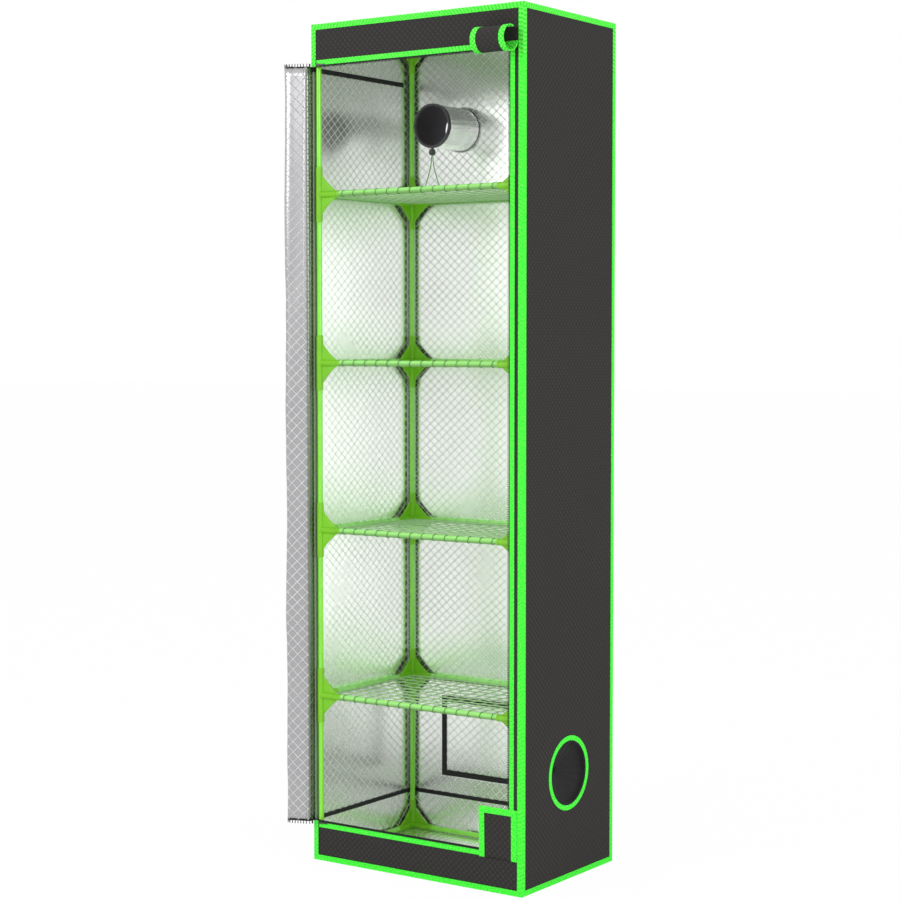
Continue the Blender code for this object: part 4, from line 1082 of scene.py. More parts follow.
def post_shape():
    """A post and its six moulded connectors at the origin, with their arms along +X and +Y.

    Tubes are profiles of (radius, height) turned about their axes. Gussets stand above and below each arm, but
    not below the lowest or above the highest.
    """
    soft, lip = 0.0008, SOCKET_RADIUS + 0.0005
    shapes = [revolved([(ROD_RADIUS, FRAME_FOOT), (ROD_RADIUS, FRAME_TOP)], TUBE_SIDES, (0, 0, 0), "z")]
    for level in LEVELS:
        low, high = max(level - SLEEVE_HALF_HEIGHT, FRAME_FOOT), min(level + SLEEVE_HALF_HEIGHT, FRAME_TOP)
        sleeve = [(ROD_RADIUS, low), (SLEEVE_RADIUS - soft, low), (SLEEVE_RADIUS, low + soft),
                  (SLEEVE_RADIUS, high - soft), (SLEEVE_RADIUS - soft, high), (ROD_RADIUS, high)]
        shapes.append(revolved(sleeve, TUBE_SIDES, (0, 0, 0), "z", slot=1))
        for axis in "xy":
            arm = [(SOCKET_RADIUS, 0), (SOCKET_RADIUS, ARM_LENGTH - 0.006), (lip, ARM_LENGTH - 0.005),
                   (lip, ARM_LENGTH - soft), (SOCKET_RADIUS, ARM_LENGTH), (ROD_RADIUS, ARM_LENGTH)]
            shapes.append(revolved(arm, TUBE_SIDES, (0, 0, level), axis, slot=1))
            for up, end in ((1, LEVELS[-1]), (-1, LEVELS[0])):
                if level != end:
                    shapes.append(gusset(axis, level, up))
    return joined(shapes)


def gusset(axis, level, up):
    """A gusset web: between the corner of post and arm and a curve that dips 3 mm towards it, with a rolled rim.

    The curve is a straight slope less a half sine. A section runs from the corner out to the rim on one face,
    round the rim as a half circle, and back on the other face.
    """
    along, rise, dip, half_thickness, rim = 0.0560, 0.0555, 0.0028, 0.0009, 0.0016
    inner, face, round_rim = 0.15, 4, 6
    share = np.linspace(0, 1, 13)[:, None]
    sink = dip * np.sin(math.pi * share)
    curve = np.concatenate([along * share - sink * rise / along, rise * (1 - share) - sink], axis=1).clip(0)
    turn = np.linspace(-math.pi / 2, math.pi / 2, round_rim)
    out = curve / np.linalg.norm(curve, axis=1)[:, None]
    scale = np.concatenate([np.linspace(inner, 1, face), np.ones(round_rim), np.linspace(1, inner, face)])
    lift = np.concatenate([np.full(face, -half_thickness), rim * np.sin(turn), np.full(face, half_thickness)])
    extra = np.concatenate([np.full(face, -rim), rim * np.cos(turn) - rim, np.full(face, -rim)])
    flat = curve[:, None] * scale[None, :, None] + out[:, None] * extra[None, :, None]
    lift = np.broadcast_to(lift, flat.shape[:2])
    height = level + up * (flat[..., 1] + SOCKET_RADIUS / 2)
    order = (flat[..., 0], lift, height) if axis == "x" else (lift, flat[..., 0], height)
    return patch(np.stack(order, axis=2), wrap_columns=True, caps=True, slot=1)


def mark_painted_wall_shade(made):
    """Gives each face the share by which it looks at the wall next to it: its normal's part towards that wall.

    The share masks the painted shade on faces towards a wall.
    """
    mesh = made.data
    normals, centres = np.empty(len(mesh.polygons) * 3), np.empty(len(mesh.polygons) * 3)
    mesh.polygons.foreach_get("normal", normals)
    mesh.polygons.foreach_get("center", centres)
    normals, centres = normals.reshape(-1, 3), centres.reshape(-1, 3)
    side = np.sign(centres[:, 0]) * normals[:, 0]
    back = np.where(centres[:, 1] > 0, normals[:, 1], 0.0)
    share = np.clip(np.maximum(side, back), 0, 1).astype(np.float32)
    mesh.attributes.new("painted_wall_shade", "FLOAT", "FACE").data.foreach_set("value", share)


def add_frame():
    """Posts with their connectors, and the rods seated in them, in powder-coated steel and moulded plastic."""
    shape = post_shape()
    places = (("front_left_post", -POST_X, -POST_Y, 1, 1), ("front_right_post", POST_X, -POST_Y, -1, 1),
              ("back_right_post", POST_X, POST_Y, -1, -1), ("back_left_post", -POST_X, POST_Y, 1, -1))
    for name, x, y, in_x, in_y in places:
        turned = moved(shape, np.diag([in_x, in_y, 1]), (x, y, 0))
        made = piece(f"{name}_tube", [turned], [finish("steel"), finish("connector")], [name])
        mark_painted_wall_shade(made)
    for number, level in enumerate(LEVELS, 1):
        rods = [revolved([(ROD_RADIUS, ROD_SEAT - far), (ROD_RADIUS, far - ROD_SEAT)], TUBE_SIDES, centre, axis)
                for axis, far, centre in rod_lines(level)]
        names = [f"{side}_rod_{number}" for side in ("front", "back", "left", "right")]
        mark_painted_wall_shade(piece(f"rods_level_{number}", rods, [finish("steel")], names))


def rod_lines(level):
    """The front, back, left and right rods of a level: axis, distance to the posts' lines, and middle."""
    return [("x", POST_X, (0, -POST_Y, level)), ("x", POST_X, (0, POST_Y, level)),
            ("y", POST_Y, (-POST_X, 0, level)), ("y", POST_Y, (POST_X, 0, level))]


def net_lines():
    """Where the strands of a net cross its longer and its shorter side: evenly spaced, without the ends."""
    columns, rows = sizes().net_columns, sizes().net_rows
    return (-NET_HALF_X + np.arange(1, columns) * (2 * NET_HALF_X / columns),
            -NET_HALF_Y + np.arange(1, rows) * (2 * NET_HALF_Y / rows))


def net_shapes(level):
    """A square net between its hem cords: strands both ways, a knot at each crossing, and a slight sag.

    The net sinks by sag (1 - (x/a)^2)(1 - (y/b)^2), and its strands wander sideways by a low ripple.
    """
    half_x, half_y = NET_HALF_X, NET_HALF_Y

    def place(x, y, lift):
        inside = (1 - (x / half_x) ** 2) * (1 - (y / half_y) ** 2)
        away = 0.0035 * smooth_step(4 * inside)
        down = level - NET_DROP - sizes().net_sag * inside + lift
        return np.stack([x + away * ripple(x, y, 51, 0.09), y + away * ripple(x, y, 53, 0.09), down], axis=-1)

    at_x, at_y = net_lines()
    radius, apart = sizes().strand_radius, 0.0005
    x, y = np.meshgrid(np.linspace(-half_x, half_x, 2 * len(at_x) + 3), at_y)
    level_strands = tubes(place(x, y, apart), radius, 5)
    y, x = np.meshgrid(np.linspace(-half_y, half_y, 2 * len(at_y) + 3), at_x)
    cross_strands = tubes(place(x, y, -apart), radius, 5)
    x, y = np.meshgrid(at_x, at_y)
    tied = knots(place(x.ravel(), y.ravel(), 0.0), 0.0026, 0.7)
    corner = np.array([(-half_x, -half_y), (half_x, -half_y), (half_x, half_y), (-half_x, half_y)])
    share = np.linspace(0, 1, 25)[:, None]
    hem = []
    for a, b in zip(corner, np.roll(corner, -1, axis=0)):
        hem.append(np.concatenate([a + (b - a) * share, np.full(share.shape, level - NET_DROP)], axis=1))
    return [level_strands, cross_strands, tied, tubes(np.stack(hem), 0.0018, 8)]


def hem_sleeves(level):
    """The net's hem wrapped round its four rods: a tube between the connectors, pinched at each lacing loop.

    The pinch is a cosine along the rod whose waves are as long as a mesh.
    """
    pitch = {"x": 2 * NET_HALF_X / sizes().net_columns, "y": 2 * NET_HALF_Y / sizes().net_rows}
    half = {"x": NET_HALF_X, "y": NET_HALF_Y}
    made = []
    for axis, far, centre in rod_lines(level):
        reach = far - ARM_LENGTH - 0.0006
        at = np.linspace(-reach, reach, 97)
        radius = HEM_RADIUS - 0.0001 * np.cos(2 * math.pi * (at + half[axis]) / pitch[axis])
        made.append(revolved(np.stack([radius, at], axis=1), TUBE_SIDES, centre, axis, slot=2))
    return made


def lacing_loops(level):
    """Loops of lacing cord round the four rods, one at each mesh: ovals that take in rod and hem, a little askew.

    They are of dark cord on the front rod, and of net cord on the others.
    """
    radius, points = sizes().lacing_radius, 16
    angle = np.arange(points) * 2 * math.pi / points
    loop = LOOP_RADIUS + radius
    out, rise = loop * np.cos(angle), loop * np.sin(angle)
    out = np.where(out < 0, out * 1.22, out)
    lean = 0.0014 * np.sin(angle)
    made = []
    for sign in (-1, 1):
        for axis, at, far, side in zip("xy", net_lines(), (POST_X, POST_Y), (POST_Y, POST_X)):
            at = at[abs(at) < far - ARM_LENGTH - 0.002]
            lengthwise = at[:, None] + lean
            sideways = sign * (side + np.broadcast_to(out, lengthwise.shape))
            height = level + np.broadcast_to(rise, lengthwise.shape)
            order, up = ((lengthwise, sideways, height), (1, 0, 0)) if axis == "x" else (
                (sideways, lengthwise, height), (0, 1, 0))
            dark = int(sign < 0 and axis == "x")
            made.append(tubes(np.stack(order, axis=2), radius, 6, up=up, wrap=True, slot=dark))
    return made


def add_nets():
    """Four knotted nets, each laced to the rods of its level."""
    finishes = [finish("net"), finish("lacing"), finish("net hem")]
    for number, level in enumerate(SHELVES, 1):
        shapes = net_shapes(level) + lacing_loops(level) + hem_sleeves(level)
        piece(f"net_{number}", shapes, finishes, [f"net_shelf_{number}"], sharp=60.0)


# The bends of the folded-back door in plan, from its seam on, and the points near which its three pieces meet
DOOR_ROUTE = (
    (-0.2981, -0.1944), (-0.2981, -0.2040), (-0.2984, -0.2110), (-0.3012, -0.2160), (-0.3080, -0.2192),
    (-0.3180, -0.2230), (-0.3300, -0.2276), (-0.3420, -0.2324), (-0.3500, -0.2334), (-0.3568, -0.2296),
    (-0.3600, -0.2225), (-0.3607, -0.2130), (-0.3612, -0.2000),
)
DOOR_MEETINGS = ((-0.2982, -0.2079), (-0.3080, -0.2192))

# The door's strips: name, node and body that each ends on, body that it starts on, and the span of its bend
DOOR_STRIPS = (
    ("door_hinge", "door_hinge_strip", "root", (-0.2981, -0.1970, 1), (-0.2981, -0.2030, 1)),
    ("door_fold", "door_fold_strip", "door_hinge_strip", (-0.2981, -0.2090, 1), (-0.3060, -0.2180, 1)),
    ("door_panel", "door_panel", "door_fold_strip", (-0.3110, -0.2235, 1), (-0.3530, -0.1950, 1)),
)


def door_line():
    """The folded-back door in plan: out from the seam, round a tight bend, slanting forward, round and back.

    A Catmull-Rom curve through the route, and then a straight run to the door's edge. Returns points,
    directions and run lengths, with the numbers of the points where the three pieces meet.
    """
    low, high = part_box("door_panel")
    bend = curved_route(DOOR_ROUTE, 0.0022)
    far = np.array([low[0] + 0.0016, high[1]])
    line = np.concatenate([bend, bend[-1] + (far - bend[-1]) * np.linspace(0, 1, 38)[1:, None]])
    along = np.gradient(line, axis=0)
    along /= np.linalg.norm(along, axis=1)[:, None]
    run = np.concatenate([[0], np.cumsum(np.linalg.norm(np.diff(line, axis=0), axis=1))])
    meet = [int(np.argmin(np.linalg.norm(line - at, axis=1))) for at in DOOR_MEETINGS]
    return line, along, run, (0, *meet, len(line) - 1)


def door_zip(line, along, run, first, last):
    """The zip halves on a stretch of the door's low and high edges: teeth at even steps, on a bar of tape."""
    low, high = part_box("door_panel")[0][2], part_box("door_panel")[1][2]
    at = np.arange(max(run[first], 0.012), run[last] - 0.002, sizes().door_tooth_pitch)
    at_x, at_y = np.interp(at, run, line[:, 0]), np.interp(at, run, line[:, 1])
    dir_x, dir_y = np.interp(at, run, along[:, 0]), np.interp(at, run, along[:, 1])
    zero, one = np.zeros(len(at)), np.ones(len(at))
    axes = np.stack([np.stack([dir_x, dir_y, zero], axis=1), np.stack([-dir_y, dir_x, zero], axis=1),
                     np.stack([zero, zero, one], axis=1)], axis=1)
    reach, tooth = 0.0032, (0.0008, 0.0007, 0.0038)
    teeth = [blocks(np.stack([at_x, at_y, one * height], axis=1), tooth, axes)
             for height in (low - reach, high + reach)]
    silver_side = np.stack([-along[:, 1], along[:, 0]], axis=1)
    edges = []
    for height, half in ((low + 0.0010, 0.0010), (high - 0.0004, 0.0004)):
        section = np.array([(-0.0009, -half), (0.0009, -half), (0.0009, half), (-0.0009, half)])
        row = line[first:last + 1, None] + silver_side[first:last + 1, None] * section[None, :, :1]
        up = np.broadcast_to(height + section[:, 1], row.shape[:2])
        edges.append(patch(np.concatenate([row, up[..., None]], axis=2), wrap_columns=True, caps=True))
    return teeth + edges


def add_door():
    """The folded-back door: one silver and charcoal sheet in three pieces, shaped with a bend at its seam and two
    folds.

    It follows the door's line, and stands off it by two ripples that fade towards its edges.
    """
    low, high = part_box("door_panel")[0][2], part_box("door_panel")[1][2]
    line, along, run, ends = door_line()
    grid_run, grid_z = np.meshgrid(run, lines(0.022, low, high)[::-1], indexing="ij")
    edge = 0.05
    calm = (smooth_step((grid_run - 0.025) / edge) * smooth_step((grid_z - low) / edge)
            * smooth_step((high - grid_z) / edge))
    wave = 0.0024 * ripple(grid_run, grid_z, 23, 0.3) + 0.0007 * ripple(grid_run, grid_z, 29, 0.07)
    silver_side = np.stack([-along[:, 1], along[:, 0]], axis=1)
    flat = line[:, None] + silver_side[:, None] * (wave * calm)[..., None]
    points = np.concatenate([flat, grid_z[..., None]], axis=2)
    for (name, node, body, start, end), first, last in zip(DOOR_STRIPS, ends, ends[1:]):
        shape = patch(points[first:last + 1])
        shape["uv"] = shape["uv"] + np.array([run[first], 0])
        made = piece(f"{name}_cloth", [shape], [finish("door film"), finish("cloth")], [node],
                     closed=False, thickness=sizes().cloth_thickness, offset=0.0, ride=False)
        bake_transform(made)
        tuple(start)
        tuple(end)
        zip_half = piece(f"{name}_zip", door_zip(line, along, run, first, last), [finish("black")],
                         ride=False)
        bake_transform(zip_half)
        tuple(start)
        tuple(end)


def add_sliders():
    """The two zip sliders, kept from the CAD with a die-cast finish."""
    for name in ("upper_slider", "lower_slider"):
        finish_node(name, "metal")


def tray_outline(half_x, half_y, corner, count):
    """Evenly spaced points round a rectangle whose corners are quarter circles, anticlockwise."""
    turn = np.linspace(0, math.pi / 2, 5)
    outline = []
    for sign_x, sign_y, begin in ((1, 1, 0), (-1, 1, 1), (-1, -1, 2), (1, -1, 3)):
        angle = turn + begin * math.pi / 2
        outline.append(np.stack([sign_x * (half_x - corner) + corner * np.cos(angle),
                                 sign_y * (half_y - corner) + corner * np.sin(angle)], axis=1))
    outline = np.concatenate(outline)
    outline = np.concatenate([outline, outline[:1]])
    run = np.concatenate([[0], np.cumsum(np.linalg.norm(np.diff(outline, axis=0), axis=1))])
    at = np.linspace(0, run[-1], count + 1)[:-1]
    return np.stack([np.interp(at, run, outline[:, 0]), np.interp(at, run, outline[:, 1])], axis=1)


def add_tray():
    """The loose floor tray: from the middle of its floor out, up its walls, over a black hem and back underneath.

    Its section holds (share of the outline, shift outwards, height). Its floor swells and its walls lean in by low
    ripples, and the front wall droops by 7 mm.
    """
    low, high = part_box("floor_tray")
    half_x, half_y, thick, hem, fold = high[0], high[1], 0.0010, 0.0100, 0.0006
    rim, foot = high[2], low[2]
    floor_top, hem_low, hem_high = foot + thick, rim - hem, rim - 0.0006
    at = tray_outline(half_x, half_y, 0.006, 120)
    out = at / np.linalg.norm(at, axis=1)[:, None]
    profile = [(0.02, 0, floor_top), (0.35, 0, floor_top), (0.7, 0, floor_top), (1, -thick - 0.002, floor_top),
               (1, -thick, floor_top + 0.002), (1, -thick, 0.035), (1, -thick, 0.065), (1, -thick, hem_low),
               (1, -thick - fold, hem_low + 0.0004), (1, -thick - fold, hem_high), (1, -thick / 2, rim),
               (1, -0.0001, hem_high), (1, -0.0001, hem_low), (1, 0, 0.05), (1, 0, foot + 0.001),
               (1, -0.001, foot), (0.5, 0, foot), (0.02, 0, foot)]
    slots = [0] * 7 + [1] * 5 + [0] * 5
    scale, shift, height = (np.array(profile)[:, k] for k in range(3))
    lean = -0.0011 * (0.5 + 0.5 * ripple(at[:, 0], at[:, 1], 31, 0.12))
    rising = smooth_step((height - 0.03) / 0.06) * (scale == 1)
    flat = at[None] * scale[:, None, None] + out[None] * (shift[:, None] + rising[:, None] * lean[None])[..., None]
    swell = 0.0006 * (0.5 + 0.5 * ripple(flat[..., 0], flat[..., 1], 37, 0.1)) * (scale < 0.9)[:, None]
    swell = swell * (height[:, None] > foot + 0.0005)
    droop = 0.0070 * smooth_step((-at[:, 1] - half_y + 0.03) / 0.03) * smooth_step((height[:, None] - 0.05) / 0.02)
    points = np.concatenate([flat, (height[:, None] + swell - droop)[..., None]], axis=2)
    shape = patch(points, wrap_columns=True, caps=True, slot=slots)
    made = piece("floor_tray_cloth", [shape], [finish("silver"), finish("black")],
                 ["floor_tray"])


def add_duct_sleeve():
    """The duct sleeve: a gathered silver tube with a dark drawcord hem and a black lining, open to the outside.

    Its profile of (radius, y) is turned about the sleeve's axis. A ripple makes its folds and a cosine its
    gathers at the hem, and both fade towards the wall.
    """
    low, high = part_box("duct_sleeve")
    mouth, wall, outside = low[1], 0.1976, high[1]
    outer, inner, sides = DUCT_RADIUS, DUCT_RADIUS - 0.0010, 96
    centre = (DUCT_X, 0, DUCT_Z)
    along = np.linspace(wall - 0.001, mouth + 0.010, 16)
    profile = [(outer, outside), (outer, wall)] + [(outer, y) for y in along]
    hem = [(outer + 0.0012, mouth + 0.0085), (outer + 0.0018, mouth + 0.004), (outer + 0.0008, mouth),
           (outer - 0.0015, mouth - 0.0004), (outer - 0.0036, mouth), (outer - 0.0042, mouth + 0.003),
           (outer - 0.0036, mouth + 0.0065)]
    slots = [0] * (len(profile) - 1) + [1] * len(hem) + [2] * 15
    profile += hem + [(inner, y) for y in np.linspace(mouth + 0.009, outside, 14)]
    rows = np.array([y for _, y in profile])

    def wave(angle, row):
        angle, y = np.broadcast_arrays(angle, rows[row])
        free = smooth_step((wall - y) / 0.03)
        fold = 0.010 * ripple(angle * 0.16, y * 1.6, 41, 0.16)
        gather = 0.006 * np.cos(26 * angle + 1.5 * np.sin(3 * angle)) * smooth_step((mouth + 0.03 - y) / 0.03)
        return 1 + free * (fold - 0.006) + gather * free

    flange = [(outer, wall), (outer + 0.0012, wall), (outer + 0.0014, wall - 0.0006),
              (outer + 0.0010, wall - 0.0012), (outer, wall - 0.0012)]
    turn, thread = np.arange(6) * math.pi / 3, 0.0007
    seam = np.stack([outer + 0.0010 + thread * np.cos(turn), wall - 0.0012 + thread * np.sin(turn)], axis=1)
    shapes = [revolved(profile, sides, centre, "y", slot=slots, ring=True, wave=wave),
              revolved(flange, sides, centre, "y", ring=True),
              revolved(seam, sides, centre, "y", slot=1, ring=True)]
    finishes = [finish("duct film"), finish("hem"), finish("lining")]
    made = piece("duct_sleeve_cloth", shapes, finishes, ["duct_sleeve"])
    ring = ring_tape(DUCT_RADIUS + TAPE_GAP, DUCT_RING_WIDTH, (DUCT_X, BACK, DUCT_Z), "y")
    piece("duct_ring_tape", [ring], [finish("tape")], ["duct_ring"])


def ring_tape(inner, width, centre, axis):
    """A flat ring of tape: a thin rounded section turned about its centre, from its outer face inwards."""
    thick = sizes().tape_thickness
    across = np.array([0, 0.25, 0.5, 0.75, 1, 1, 0.75, 0.5, 0.25, 0])
    crown = np.array([0.25, 0, 0, 0, 0.25, 1, 1, 1, 1, 1])
    profile = np.stack([inner + width * across, -thick * crown], axis=1)
    return revolved(profile, 96, centre, axis, ring=True)


def add_drawcord():
    """The cord lock, kept from the CAD, and the drawcord: from the hem into it, and two tails in a V below it."""
    finish_node("cord_lock", "plastic")
    x, y, z = TAIL_START
    radius, sides = TAIL_DIAMETER / 2, 10
    hem, inside = DUCT_Z - DUCT_RADIUS + 0.0035, z + 0.0080
    stems = [[(x + side, y, height) for height in np.linspace(hem, inside, 6)] for side in (-0.0014, 0.0014)]
    made = piece("drawcord_stem", [tubes(stems, radius, sides, up=(0, 1, 0))], [finish("drawcord")],
                 ride=False)
    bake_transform(made)
    for name, side in (("drawcord_left", -1), ("drawcord_right", 1)):
        route = curved_route([(x + side * out, y, z - down) for out, down in TAIL_ROUTE], 0.0040)
        made = piece(f"{name}_tail", [tubes(route[None], radius, sides, up=(0, 1, 0))], [finish("drawcord")],
                     [name], ride=False)
        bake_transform(made)


def add_vent():
    """Mesh in the back window, and inside it the silver flap with its black hook-and-loop border."""
    low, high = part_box("vent_mesh")
    back = high[1]

    def mesh_place(x, z):
        return np.stack([x, np.full(len(x), back), z], axis=1)

    shape = whole_sheet((low[0], high[0], low[2], high[2]), CLOTH_STEP, mesh_place, flip=True)
    made = piece("vent_window_mesh", [shape], [finish("black")], ["vent_mesh"], closed=False,
                 thickness=0.0006)
    low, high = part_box("vent_flap")
    face, border = low[1] + 0.0006, 0.0140
    box = (low[0], high[0], low[2], high[2])

    def flap_place(x, z):
        return np.stack([x, face - billow(x, z, box, 0.0012, 43, edge=0.02), z], axis=1)

    shape = whole_sheet(box, CLOTH_STEP, flap_place)
    made = piece("vent_flap_cloth", [shape], [finish("silver"), finish("cloth")], ["vent_flap"],
                 body="vent_flap", closed=False, thickness=0.0009)
    in_x, in_low, in_high = high[0] - border, low[2] + border, high[2] - border
    path = [(-in_x, in_low), (in_x, in_low), (in_x, in_high), (-in_x, in_high), (-in_x, in_low)]
    outward = [(-1, -1), (1, -1), (1, 1), (-1, 1), (-1, -1)]
    trim = path_tape(path, outward, border, low[1] - 0.0009, low[1] + 0.0005)
    piece("vent_flap_border", [trim], [finish("black")], body="vent_flap")


def add_port():
    """The round port: green ring outside, and a closed sleeve that gathers in pleats to a tied knot.

    The sleeve's radius falls along its depth, and a cosine of twenty-two pleats grows towards the knot.
    """
    ring = ring_tape(PORT_RADIUS + 0.0006, PORT_RING_WIDTH, (RIGHT, 0, PORT_Z), "x")
    piece("port_ring_tape", [ring], [finish("tape")], ["port_ring"])
    depth, radius, pleat = np.array([
        (0.0010, 0.0746, 0.0), (0.006, 0.0744, 0.004), (0.012, 0.0735, 0.012), (0.018, 0.0700, 0.025),
        (0.023, 0.0620, 0.045), (0.028, 0.0510, 0.065), (0.033, 0.0385, 0.09), (0.038, 0.0240, 0.13),
        (0.042, 0.0125, 0.18), (0.045, 0.0062, 0.2), (0.047, 0.0052, 0.2), (0.050, 0.0072, 0.2),
        (0.054, 0.0100, 0.22), (0.057, 0.0118, 0.24)]).T

    def wave(angle, row):
        return 1 + pleat[row] * (np.cos(22 * angle + 0.6 * np.sin(2 * angle) + 0.1 * row) - 0.6) * 0.5

    shape = revolved(np.stack([radius, RIGHT - depth], axis=1), 132, (0, 0, PORT_Z), "x", caps=False, wave=wave)
    made = piece("port_sleeve_cloth", [shape], [finish("black")], ["port_sleeve"], closed=False,
                 thickness=0.0008, offset=0.0)
    points, knot_radius, knot_depth = 24, 0.0068, 0.0470
    angle = np.arange(points) * 2 * math.pi / points
    tie = np.stack([np.full(points, RIGHT - knot_depth), knot_radius * np.cos(angle),
                    PORT_Z + knot_radius * np.sin(angle)], axis=1)
    piece("port_tie", [tubes(tie[None], 0.0012, 8, up=(1, 0, 0), wrap=True)], [finish("black")])


def add_wall_strip():
    """The hook-and-loop strip near the top of the left wall, and the dull tape inside its front seam.

    That tape's pale green is a painted reflection of the front left post in the wall's film.
    """
    low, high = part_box("wall_strip")
    path, outward = [(low[1], low[2]), (high[1], low[2])], [(0, 1), (0, 1)]
    strip = path_tape(path, outward, high[2] - low[2], low[0], high[0], plane="yz", rows=24)
    piece("wall_strip_tape", [strip], [finish("black")], ["wall_strip"])
    # The seam tape is a sheet whose pale green is a painted reflection of the front left post
    inside, seam_y = -WALL_HIGH[0] + sizes().cloth_thickness, WALL_LOW[1] + 0.0002
    path, outward = [(seam_y, 0.1), (seam_y, OPENING_TOP + 0.01)], [(1, 0), (1, 0)]
    tape = path_tape(path, outward, 0.0125, inside - 0.0002, inside + 0.0005, plane="yz", rows=60)
    piece("front_left_seam_painted_reflection", [tape], [finish("seam")])


def add_lower_flap():
    """The closed flap over the lower zip corner: a patch of cloth, bound on its left, top and right."""
    low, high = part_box("lower_flap")
    face, width = low[1] + 0.0006, 0.0145
    box = (low[0], high[0], low[2], high[2])

    def lifted(x, z):
        """The flap stands off a little towards its free top left corner."""
        far = smooth_step((z - low[2]) / (high[2] - low[2])) * smooth_step((high[0] - x) / (high[0] - low[0]))
        return 0.0016 * far + billow(x, z, box, 0.0008, 47, edge=0.02)

    def flap_place(x, z):
        return np.stack([x, face - lifted(x, z), z], axis=1)

    shape = whole_sheet(box, 0.008, flap_place)
    made = piece("lower_flap_cloth", [shape], [finish("cloth")], ["lower_flap"],
                 body="lower_flap", closed=False, thickness=0.0009)
    in_left, in_right, in_top = low[0] + width, high[0] - width, high[2] - width
    trim = path_tape([(in_left, low[2]), (in_left, in_top), (in_right, in_top), (in_right, low[2])],
                     [(-1, 0), (-1, 1), (1, 1), (1, 0)], width, -0.0007, 0.0013)
    points = trim["points"]
    points[:, 1] += face - lifted(points[:, 0], points[:, 2])
    piece("lower_flap_tape", [trim], [finish("tape")], body="lower_flap")


def add_rolled_flap():
    """The upper flap, rolled up in a C: its section is a line from the seam round an arc of 287 degrees.

    Green tape binds both ends of the roll and its free edge.
    """
    low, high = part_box("rolled_flap")
    radius, middle_z, seam_y, seam_z = 0.0285, 1.9180, -0.2003, 1.9425
    middle_y = seam_y - 0.0010 - radius - 0.0005
    turn = np.radians(np.linspace(65, 352, 56))
    swell = 1 + 0.02 * np.sin(2 * turn + 0.4)
    arc = np.stack([middle_y + radius * swell * np.cos(turn), middle_z + radius * swell * np.sin(turn)], axis=1)
    line = np.concatenate([[(seam_y, seam_z)], arc])

    def curl(part, thickness, x0, x1, rows):
        section = ribbon(part, thickness)
        x = np.linspace(x0, x1, rows)
        sag = 1 - 0.03 * np.sin(math.pi * (x - low[0]) / (high[0] - low[0]))
        flat = (section[None] - (middle_y, middle_z)) * sag[:, None, None] + (middle_y, middle_z)
        points = np.concatenate([np.broadcast_to(x[:, None, None], (rows, len(section), 1)), flat], axis=2)
        return patch(points, wrap_columns=True, caps=True)

    left, right, width, binding = low[0], high[0], 0.0140, 0.0024
    made = piece("rolled_flap_cloth", [curl(line, 0.0010, left + 0.0002, right - 0.0002, 14)], [finish("cloth")],
                 ["rolled_flap"], body="rolled_flap")
    bindings = [curl(line[1:], binding, left, left + width, 4), curl(line[1:], binding, right - width, right, 4),
                curl(line[-10:], binding + 0.0002, left + width, right - width, 6)]
    piece("rolled_flap_tape", bindings, [finish("tape")], body="rolled_flap")


def add_stage():
    """Floor, soft lamps and a white surround. The floor looks nearly white, with a faint shadow."""
    scene = bpy.context.scene
    reach, below = 40.0, -0.0005
    mesh = bpy.data.meshes.new("studio_floor")
    mesh.from_pydata([(x * reach, y * reach, below) for x, y in ((-1, -1), (1, -1), (1, 1), (-1, 1))], [],
                     [(0, 1, 2, 3)])
    floor = bpy.data.objects.new("studio_floor", mesh)
    scene.collection.objects.link(floor)
    made, tree, shader, place = blank("studio floor", colour("floor"), 0.9)
    mesh.materials.append(made)
    cloud = add_node(tree, "ShaderNodeTexNoise", {"Vector": place.outputs["Object"], "Scale": 3.0})
    tree.links.new(spread(tree, cloud.outputs[0], 0.3, 0.7, 0.85, 0.95), shader.inputs["Roughness"])
    glow = add_node(tree, "ShaderNodeEmission", {"Color": (1, 1, 1, 1), "Strength": 1.0})
    path = tree.nodes.new("ShaderNodeLightPath")
    seen = calc(tree, "MAXIMUM", path.outputs["Is Camera Ray"], path.outputs["Is Glossy Ray"])
    seen = calc(tree, "MULTIPLY", seen, 0.97)
    blend = add_node(tree, "ShaderNodeMixShader", {0: seen, 1: shader.outputs[0], 2: glow.outputs[0]})
    tree.links.new(blend.outputs[0], tree.nodes["Material Output"].inputs["Surface"])

    world = bpy.data.worlds.new("studio")
    scene.world = world
    world.use_nodes = True
    tree = world.node_tree
    background = tree.nodes["Background"]
    path = tree.nodes.new("ShaderNodeLightPath")
    seen = calc(tree, "MAXIMUM", path.outputs["Is Camera Ray"], path.outputs["Is Glossy Ray"])
    seen = calc(tree, "MAXIMUM", seen, path.outputs["Is Transmission Ray"])
    tree.links.new(spread(tree, seen, 0.0, 1.0, 0.75, 1.0), background.inputs["Strength"])
    background.inputs["Color"].default_value = (1, 1, 1, 1)

    # Name, place, size and power of each lamp. All of them look down on a point at half the tent's height
    lamps = (("key_lamp", (-1.6, -4.2, 3.2), 2.6, 75.0), ("side_lamp", (4.2, -1.4, 2.4), 2.6, 65.0),
             ("top_lamp", (0.0, 0.0, 5.0), 2.0, 15.0))
    for name, place, size, power in lamps:
        data = bpy.data.lights.new(name, "AREA")
        data.shape, data.size, data.energy = "DISK", size, power
        lamp = bpy.data.objects.new(name, data)
        lamp.location = place
        way = np.array([0, 0, 1.0]) - np.array(place)
        lamp.rotation_euler = (math.acos(way[2] / -np.linalg.norm(way)), 0,
                               math.atan2(way[1], way[0]) - math.pi / 2)
        scene.collection.objects.link(lamp)


